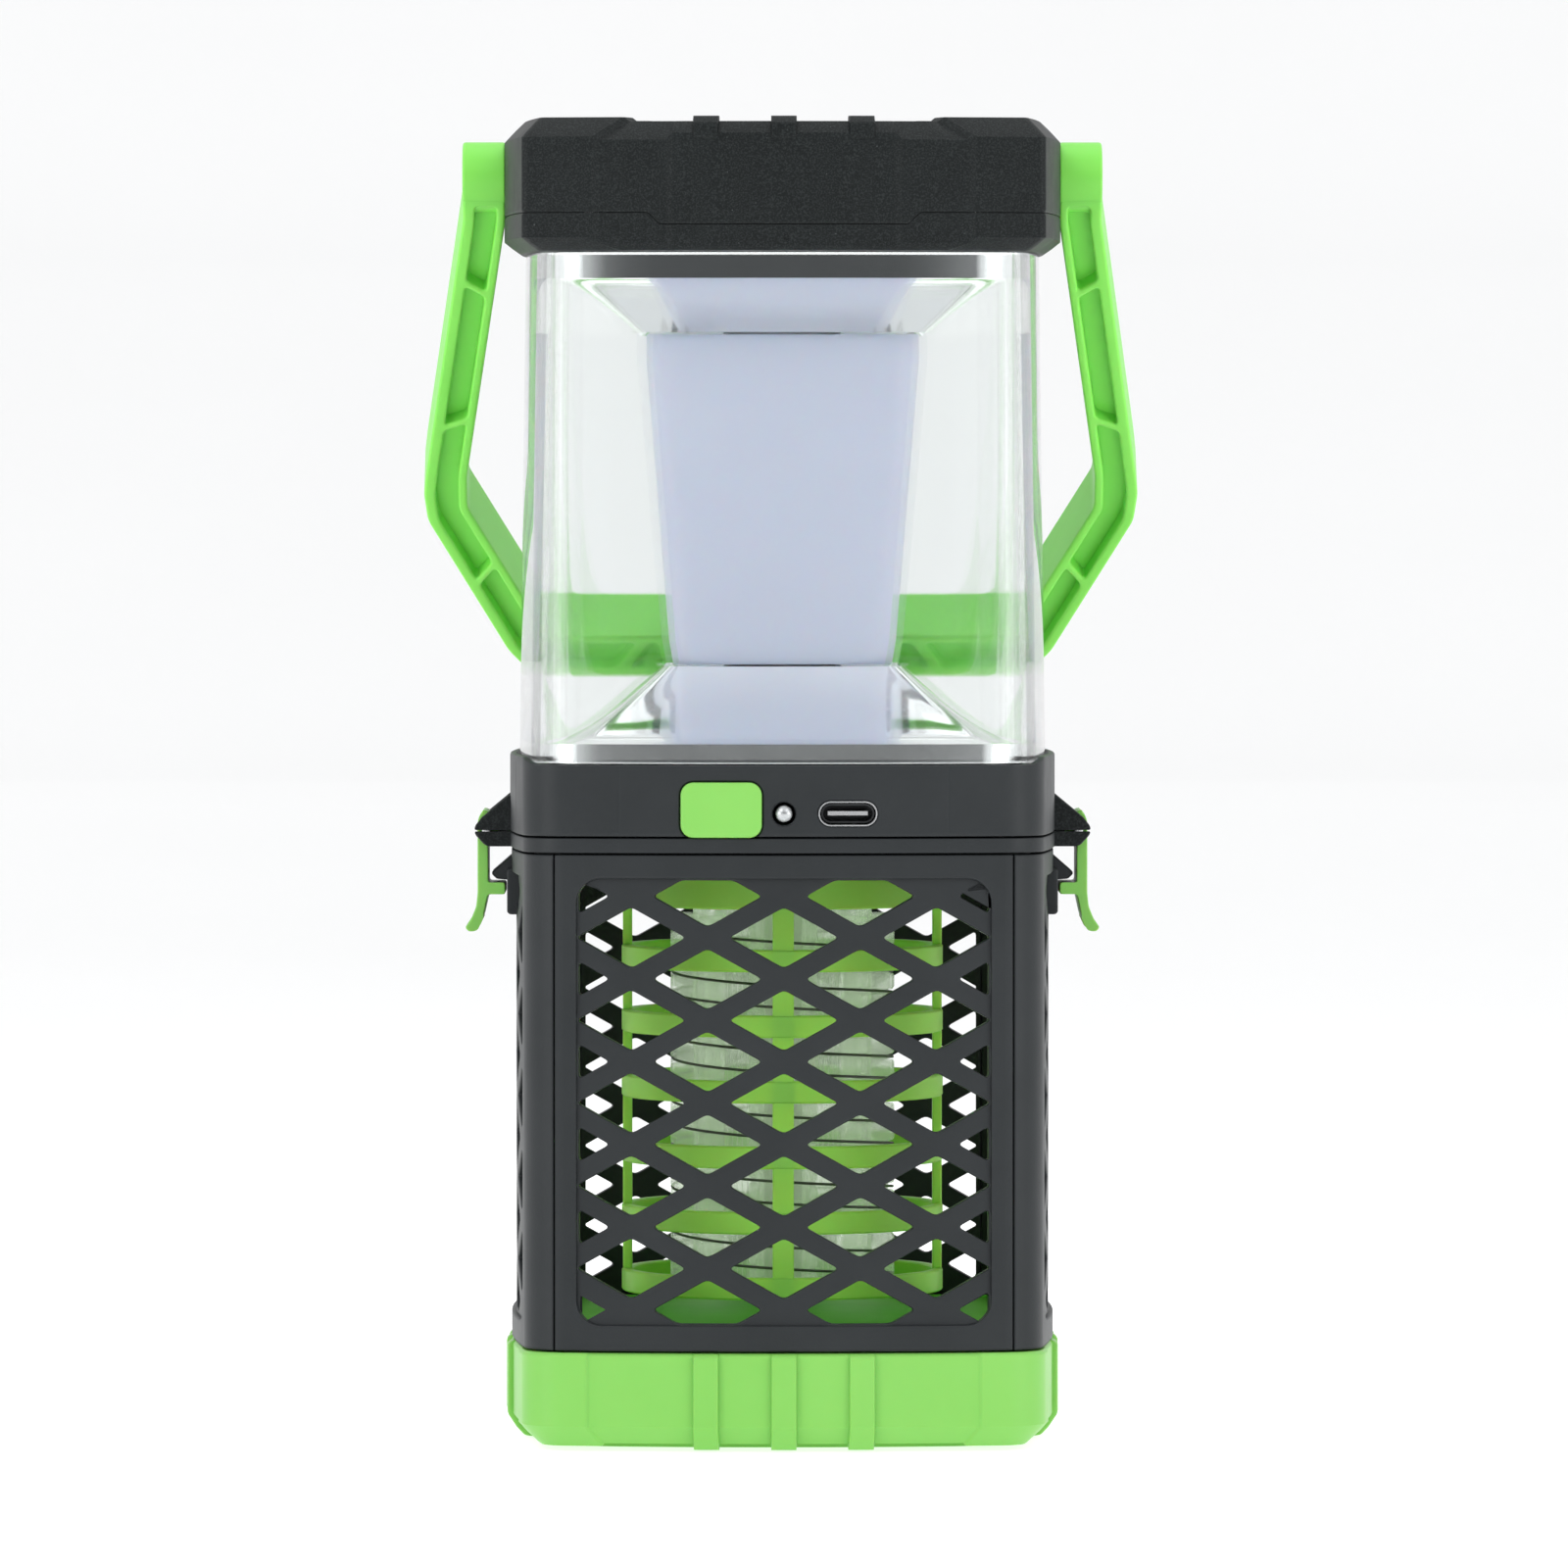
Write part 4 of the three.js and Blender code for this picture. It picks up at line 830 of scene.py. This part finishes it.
# ---- latches ----
def make_latches():
    outline = [(50.2, 101.6), (49.3, 101.4), (48.6, 102.2), (48.5, 103.2), (49.1, 104.5), (50.1, 106.2),
               (51.0, 106.6), (51.7, 105.6), (52.05, 104.5), (52.05, 92.3), (52.3, 90.0), (53.1, 88.0),
               (54.2, 86.4), (53.6, 85.7), (52.4, 85.9), (51.0, 88.4), (50.2, 92.1), (47.5, 92.1),
               (47.3, 92.4), (47.3, 93.8), (47.5, 94.1), (50.2, 94.1)]
    shape = fillet(outline, 0.5, 3)
    pin_x, pin_z = LATCH_PLACE
    for side, name in ((-1, "latch_left"), (1, "latch_right")):
        bm = bmesh.new()
        loops = []
        for y, shrink in softened(7, 0.12, 0.4, 0.3, 0.1):
            loops.append([(side * inward(x, 51.1, shrink), y, z) for x, z in shape])
        join_loops(bm, loops)
        add_piece(name + "_lever", bm, "green_plastic", name, replaced=(name,))
        bm = bmesh.new()
        join_loops(bm, rod_loops("y", (side * pin_x, pin_z), 0.75, -9.1, 9.1, 0.2, 20))
        add_piece(name + "_axle", bm, "steel", replaced=(name.replace("latch_", "latch_pin_"),))


def inward(x, middle, amount):
    offset = x - middle
    return x - math.copysign(min(amount, abs(offset)), offset)


# ---- lantern: lens, reflectors and diffuser ----
def make_lens():
    low, top = LENS_BOTTOM, LENS_BOTTOM + LENS_HEIGHT
    between = [low + LENS_HEIGHT * i / 8 for i in range(1, 8)]
    section = [(low, 0.25), (low + 0.2, 0.05), (low + 0.5, 0)]
    section += [(z, 0) for z in between]
    section += [(top - 0.5, 0), (top - 0.2, 0.05), (top, 0.25)]
    section += [(top, LENS_WALL - 0.3), (top - 0.2, LENS_WALL - 0.05), (top - 0.5, LENS_WALL)]
    section += [(z, LENS_WALL) for z in reversed(between)]
    section += [(low + 0.5, LENS_WALL), (low + 0.2, LENS_WALL - 0.05), (low, LENS_WALL - 0.3)]
    bm = bmesh.new()
    belt(bm, LENS_HALF, PLAIN_STOPS, [level(inset + lens_taper(z), z) for z, inset in section])
    add_piece("lens_wall", bm, "clear_plastic", replaced=("lens",), sharp=50)


def lens_taper(z):
    return mix(0.0, 1.1, (z - LENS_BOTTOM) / LENS_HEIGHT)


def square_loop(half, bulge, radius, z, hip=0.0):
    """A rounded square; hip pulls a narrow rounded ridge out along each diagonal."""
    loop = []
    for quarter in range(4):
        for i in range(24):
            u = -1 + 2 * i / 24
            reach = half - radius
            x = u * reach
            if abs(u) < 0.999:
                loop.append((*turn((x, -half - bulge * (1 - u * u)), quarter), z))
        for i in range(8):
            a = math.radians(90 * i / 8)
            x = half - radius + radius * math.sin(a)
            y = -(half - radius + radius * math.cos(a))
            push = 1 + hip * math.sin(2 * a) / half
            loop.append((*turn((x * push, y * push), quarter), z))
    return loop


def flare(bm, band_half, band_z, end_z, throat_half, throat_z):
    """A mirrored skin that sweeps in a hollow curve from a wide upright band to the diffuser."""
    wall, steps = 1.2, 24
    away = -1 if throat_z > band_z else 1

    def ring(run, offset):
        half = mix(band_half, throat_half, run) - offset * 0.8
        z = mix(band_z, throat_z, run ** 1.5) + offset * away * (0.4 + 0.6 * (run > 0))
        hip = 0.5 * math.sin(math.pi * run)
        return square_loop(half, mix(1.6, 0.25, run), mix(7.0, 1.4, run), z, hip=hip)

    outer = [square_loop(band_half, 1.6, 7.0, mix(end_z, band_z, t)) for t in (0, 0.1, 0.9)]
    outer += [ring(i / steps, 0) for i in range(steps + 1)]
    inner = [ring(i / steps, wall) for i in range(steps, -1, -1)]
    inner += [square_loop(band_half - wall * 0.8, 1.6, 7.0, mix(end_z, band_z, t)) for t in (0.9, 0.1, 0)]
    join_loops(bm, outer + inner, closed=True)


def make_reflectors():
    lower, upper = (40.1, 118.5, 115.35, 20.0, 131.2), (39.1, 196.6, 200.85, 24.5, 187.7)
    for name, node_name, sizes in (("reflector_lower", "lower_reflector", lower),
                                   ("reflector_upper", "upper_reflector", upper)):
        bm = bmesh.new()
        flare(bm, *sizes)
        add_piece(name, bm, "mirror_plastic", replaced=(node_name,), sharp=40)


def make_diffuser():
    bm = bmesh.new()
    outer, inner = [], []
    for i in range(15):
        t = i / 14
        z = mix(DIFFUSER_BOTTOM, DIFFUSER_TOP, t)
        half = mix(19.0, 23.5, t)
        edge = 0.35 if i in (0, 14) else 0.0
        outer.append(square_loop(half - 0.2 - edge, 0.2, 4.0, z))
        inner.append(square_loop(half - 2.2, 0.2, 2.6, z))
    join_loops(bm, outer + inner[::-1], closed=True)
    add_piece("diffuser_tube", bm, "diffuser_plastic", replaced=("diffuser",), sharp=50)


# ---- handle: a green bail with pocketed arms, drawn hanging straight down in (x, drop) ----
BAIL_OUTER = ((54.6, 0), (54.6, 5), (61.8, 61), (62.3, 66), (61.7, 72), (48, 102), (44.4, 106.8), (38, 108))
BAIL_INNER = ((47.3, 0), (47.3, 5), (54.7, 62), (54.7, 69), (43.1, 94.1), (40.1, 97.7), (36.1, 98.6))
WEB_OUTER = ((54.0, 0), (54.0, 5), (61.2, 61), (61.7, 66), (61.1, 72), (47.5, 101.6), (44.0, 106.2),
             (37.9, 107.4))
WEB_INNER = ((47.9, 0), (47.9, 5), (55.3, 62), (55.3, 69.2), (43.6, 94.4), (40.4, 98.2), (36.1, 99.2))


def bail_outline(outer, inner):
    """The closed outline of a bail, from the right halves of its outer and inner edges."""
    right = [(x, -drop) for x, drop in outer]
    within = [(x, -drop) for x, drop in inner]
    return right + mirrored(right)[::-1] + mirrored(within) + within[::-1]


def mirrored(points):
    return [(-x, z) for x, z in points]


def line_length(line):
    return sum((Vector(b) - Vector(a)).length for a, b in zip(line, line[1:]))


def slice_line(line, start, end):
    """The stretch of a polyline between two distances along it."""
    made, run = [], 0.0
    for a, b in zip(line, line[1:]):
        a, b = Vector(a), Vector(b)
        step = (b - a).length
        for mark in (start, end):
            if run < mark <= run + step and mark > 0:
                made.append((mark, a.lerp(b, (mark - run) / step)[:]))
        if start < run + step < end:
            made.append((run + step, b[:]))
        run += step
    if start <= 0:
        made.append((0.0, tuple(line[0])))
    return [p for _, p in sorted(made)]


def pockets():
    """The pockets in both arms and the crossbar, between walls that cross the bail."""
    outer = [(52.5, 1.8), (52.5, 5.2), (59.8, 61.3), (60.3, 66), (59.8, 71.5), (46.2, 101.2), (43.2, 105),
             (37.6, 106), (0, 106)]
    inner = [(48.9, 1.8), (48.9, 5.0), (56.3, 61.9), (56.3, 69.4), (44.6, 94.8), (41.2, 99.1), (36.4, 100.2),
             (0, 100.2)]
    o_end, i_end = line_length(outer), line_length(inner)
    spans = [((0, 0), (16.3, 18.7)), ((17.7, 20.1), (48.8, 47.2)), ((50.2, 48.6), (85.6, 81.5)),
             ((87.0, 82.9), (o_end - 29, i_end - 25.6)),
             ((o_end - 26.5, i_end - 23.2), (o_end - 20.6, i_end - 21.6))]
    made = []
    for (o0, i0), (o1, i1) in spans:
        shape = slice_line(outer, o0, o1) + slice_line(inner, i0, i1)[::-1]
        shape = [p for k, p in enumerate(shape) if (Vector(p) - Vector(shape[k - 1])).length > 0.05]
        made.append(fillet(shape, 0.9, 3))
        made.append(mirrored(made[-1]))
    made.append(fillet([(-19, 100.2), (19, 100.2), (19, 106), (-19, 106)], 0.9, 3))
    return made


def make_handle():
    holes = [[(x, -drop) for x, drop in shape] for shape in pockets()]
    bm = flat_plate(fillet(bail_outline(BAIL_OUTER, BAIL_INNER), 1.2, 4), holes, 12.0, 0.5)
    merge(bm, flat_plate(fillet(bail_outline(WEB_OUTER, WEB_INNER), 0.8, 3), [], 6.4, 0.3))
    tip(bm, 90)
    boss = ((47.3, 5.6), (47.45, 5.9), (47.8, 6.0), (54.1, 6.0), (54.45, 5.9), (54.6, 5.6))
    stub = ((41.6, 3.6), (41.8, 3.9), (42.7, 3.9), (42.8, 3.35), (47.6, 3.35))
    for side in (-1, 1):
        for profile, sides in ((boss, 48), (stub, 32)):
            angles = [k * math.pi / (sides // 2) for k in range(sides)]
            loops = [[(side * x, r * math.cos(a), r * math.sin(a)) for a in angles] for x, r in profile]
            join_loops(bm, loops)
    tip(bm, HANDLE_TILT)
    bmesh.ops.translate(bm, verts=bm.verts, vec=(0, 0, PIVOT_Z))
    # the bail takes the "bail" finish: the green plastic painted lighter, to stand in for light from below
    add_piece("bail", bm, "green_plastic", "handle", "bail", replaced=("handle",), sharp=38)


def tip(bm, degrees):
    turned = Matrix.Rotation(math.radians(degrees), 3, "X")
    bmesh.ops.rotate(bm, verts=bm.verts, cent=(0, 0, 0), matrix=turned)


# ---- zapper grid ----
def make_guard():
    bm = bmesh.new()
    for i in range(6):
        z = GUARD_BOTTOM + 11.1 * i
        ring_band(bm, z, z + 3.8)
    ring_band(bm, 90.2, GUARD_TOP)
    join_loops(bm, rod_loops("z", (0, 0), 26.9, 97.6, GUARD_TOP, 0.2, 64))
    for quarter in range(4):
        loops = []
        for z, grow in ((GUARD_BOTTOM, -0.2), (GUARD_BOTTOM + 0.2, 0), (91.5, 0), (91.7, -0.2)):
            shape = rounded_rect(-1.8 - grow, 1.8 + grow, GUARD_INNER, GUARD_OUTER - 0.2, 0.3, 3)
            loops.append([(*turn((x, -y), quarter), z) for x, y in shape])
        join_loops(bm, loops)
    add_piece("guard_cage", bm, "guard_plastic", replaced=("grid_guard",))


def ring_band(bm, low, high):
    inner, outer, edge, sides = GUARD_INNER, GUARD_OUTER, 0.3, 96
    profile = [(inner, low + edge), (inner + edge, low), (outer - edge, low), (outer, low + edge),
               (outer, high - edge), (outer - edge, high), (inner + edge, high), (inner, high - edge)]
    loops = []
    for i in range(sides):
        a = 2 * math.pi * i / sides
        loops.append([(r * math.cos(a), r * math.sin(a), z) for r, z in profile])
    join_loops(bm, loops, closed=True)


def make_light_guide():
    """A clear column with fine upright flutes; stepped lugs on it carry the wires."""
    bm = bmesh.new()
    flutes = 96

    def ring(radius, depth, z):
        points = []
        for i in range(flutes * 2):
            a = math.pi * i / flutes
            r = radius - (depth if i % 2 else 0)
            points.append((r * math.cos(a), r * math.sin(a), z))
        return points

    rows = [ring(15.0, 0, 24.4), ring(15.3, 0.45, 24.8), ring(15.3, 0.45, 96.8), ring(15.0, 0, 97.2),
            ring(13.2, 0, 97.2), ring(13.0, 0, 96.9), ring(13.0, 0, 24.7), ring(13.2, 0, 24.4)]
    join_loops(bm, rows, closed=True)
    for k in range(12):
        angle = math.radians(30 * k + 15)
        spin = Matrix.Rotation(angle, 3, "Z")
        shape = comb_outline(-angle)
        loops = [[(spin @ Vector((r, y, z)))[:] for r, z in shape] for y in (-0.75, 0.75)]
        join_loops(bm, loops)
    add_piece("light_column", bm, "clear_plastic", finish="fluted", replaced=("light_guide",))


def comb_outline(phase):
    """A fin whose outer edge is notched where each turn of wire passes."""
    outline = [(14.8, 88.6), (14.8, 26.2), (19.0, 26.2), (19.6, 26.6)]
    notch = ((19.6, -0.9), (19.4, -0.6), (18.55, -0.45), (18.55, 0.45), (19.4, 0.6), (19.6, 0.9))
    z = COIL_BOTTOM + COIL_LEAD * ((phase / (2 * math.pi)) % 0.5)
    while z < 88:
        if z > COIL_BOTTOM + 0.6:
            outline += [(r, z + rise) for r, rise in notch]
        z += COIL_LEAD / 2
    return [p for p in outline if p[1] < 88.1 or p[0] < 15] + [(19.6, 88.2), (19.0, 88.6)]


def make_wires():
    radius, wire = 18.9, 0.24
    steps = COIL_TURNS * 32
    for name, phase in (("grid_wire_a", 0.0), ("grid_wire_b", math.pi)):
        bm = bmesh.new()
        loops = []
        for i in range(steps + 1):
            t = i / steps
            a = phase - t * COIL_TURNS * 2 * math.pi
            out = Vector((math.cos(a), math.sin(a), 0))
            centre = out * radius + Vector((0, 0, COIL_BOTTOM + COIL_LEAD * COIL_TURNS * t))
            loops.append([(centre + out * wire * math.cos(b) + Vector((0, 0, wire * math.sin(b))))[:]
                          for b in (k * math.pi / 4 for k in range(8))])
        join_loops(bm, loops)
        add_piece(name + "_coil", bm, "steel", finish="wire", replaced=(name,))


# ---- CAD nodes that stay: the right finish and softly rounded edges ----
def keep_nodes():
    # the insect tray takes the deck finish, the green plastic painted lighter as painted light
    dark = {"usb_shell": "dark_steel", "usb_tongue": "steel", "insect_tray": "deck"}
    slots = {row["node"]: row["material_slot"] for row in frame["record"]["subparts"]}
    for name, kept in frame["nodes"].items():
        if kept.hide_render:
            continue
        kept.data.materials.clear()
        kept.data.materials.append(FINISH[dark.get(name, SLOT_FINISH[slots[name]])])
        rounding = kept.modifiers.new("rounding", "BEVEL")
        rounding.width = 0.15 * MM
        rounding.segments = 2
        rounding.limit_method = "ANGLE"
        rounding.angle_limit = math.radians(40)


# ---- stage, light and camera ----
def make_backdrop():
    """A pale floor that sweeps up into a wall far behind; it glows a little, more near the object."""
    bm = bmesh.new()
    profile = [(-3.2, 0.0), (1.9, 0.0), (2.3, 0.05), (2.6, 0.25), (2.75, 0.6), (2.75, 3.6)]
    half_width, parts, below = 3.6, 6, 0.0002
    curve = []
    for (y0, z0), (y1, z1) in zip(profile, profile[1:]):
        curve += [(mix(y0, y1, k / parts), mix(z0, z1, k / parts)) for k in range(parts)]
    curve.append(profile[-1])
    rows = [[bm.verts.new((x, y, z - below)) for y, z in curve] for x in (-half_width, half_width)]
    for i in range(len(curve) - 1):
        bm.faces.new((rows[0][i], rows[1][i], rows[1][i + 1], rows[0][i + 1]))
    mesh = bpy.data.meshes.new("sweep")
    bm.to_mesh(mesh)
    bm.free()
    mesh.polygons.foreach_set("use_smooth", [True] * len(mesh.polygons))
    sweep = bpy.data.objects.new("sweep", mesh)
    bpy.context.scene.collection.objects.link(sweep)
    paper = surface("backdrop_paper", (0.60, 0.60, 0.60), (0.615, 0.615, 0.615), (0.6, 0.7), 3, 300, 0.05,
                    Emission_Strength=1.0)
    tree = paper.node_tree
    place = tree.nodes.new("ShaderNodeTexCoord")
    axes = tree.nodes.new("ShaderNodeSeparateXYZ")
    tree.links.new(place.outputs["Object"], axes.inputs["Vector"])
    depth = spread(tree, axes.outputs["Y"], 0.0, 1.0)
    glow = ramp(tree, depth, (0.75, 0.75, 0.75), (0.36, 0.36, 0.36), 0.5, 1.0)
    tree.links.new(glow, tree.nodes["Principled BSDF"].inputs["Emission Color"])
    mesh.materials.append(paper)


def make_world():
    """A pale room with one dark side, towards -Y, for the mirrored bands to reflect."""
    world = bpy.data.worlds.new("studio")
    bpy.context.scene.world = world
    world.use_nodes = True
    tree = world.node_tree
    coords = tree.nodes.new("ShaderNodeTexCoord")
    parts = tree.nodes.new("ShaderNodeSeparateXYZ")
    tree.links.new(coords.outputs["Generated"], parts.inputs["Vector"])
    side = spread(tree, parts.outputs["Y"], 0.0, 1.0, -1.0)
    shade = ramp(tree, side, (0.075, 0.077, 0.080), (0.84, 0.85, 0.86), 0.010, 0.030)
    tree.links.new(shade, tree.nodes["Background"].inputs["Color"])


def make_lights():
    """Area lights in watts, all turned to the middle of the object."""
    middle = Vector((0, 0, 0.12))
    lights = (("key", (-0.9, -1.1, 1.3), 0.9, 5.5), ("fill", (0.9, -1.1, 1.2), 0.9, 4),
              ("top", (0.0, 0.1, 1.5), 1.2, 5), ("low_left", (-1.35, -1.0, 0.32), 0.6, 4),
              ("low_right", (1.35, -1.0, 0.32), 0.6, 4))
    for name, place, extent, power in lights:
        lamp = bpy.data.lights.new(name, "AREA")
        lamp.size = extent
        lamp.energy = power
        holder = bpy.data.objects.new(name, lamp)
        holder.location = place
        holder.rotation_mode = "QUATERNION"
        holder.rotation_quaternion = (middle - Vector(place)).to_track_quat("-Z", "Y")
        bpy.context.scene.collection.objects.link(holder)


def make_camera():
    data = bpy.data.cameras.new("camera")
    data.lens = 257
    data.sensor_width = 36
    data.clip_start, data.clip_end = 0.1, 20
    camera = bpy.data.objects.new("camera", data)
    bpy.context.scene.collection.objects.link(camera)
    camera.location = (-0.012, -1.9165, 0.1628)
    aim = Vector((0, -0.0466, 0.112)) - camera.location
    camera.rotation_mode = "QUATERNION"
    camera.rotation_quaternion = aim.to_track_quat("-Z", "Y")
    bpy.context.scene.camera = camera
    bpy.context.scene.view_settings.view_transform = "Standard"


make_cap()
make_base()
make_collar()
make_controls()
make_cage()
make_latches()
make_lens()
make_reflectors()
make_diffuser()
make_handle()
make_guard()
make_light_guide()
make_wires()
keep_nodes()
make_backdrop()
make_world()
make_lights()
make_camera()
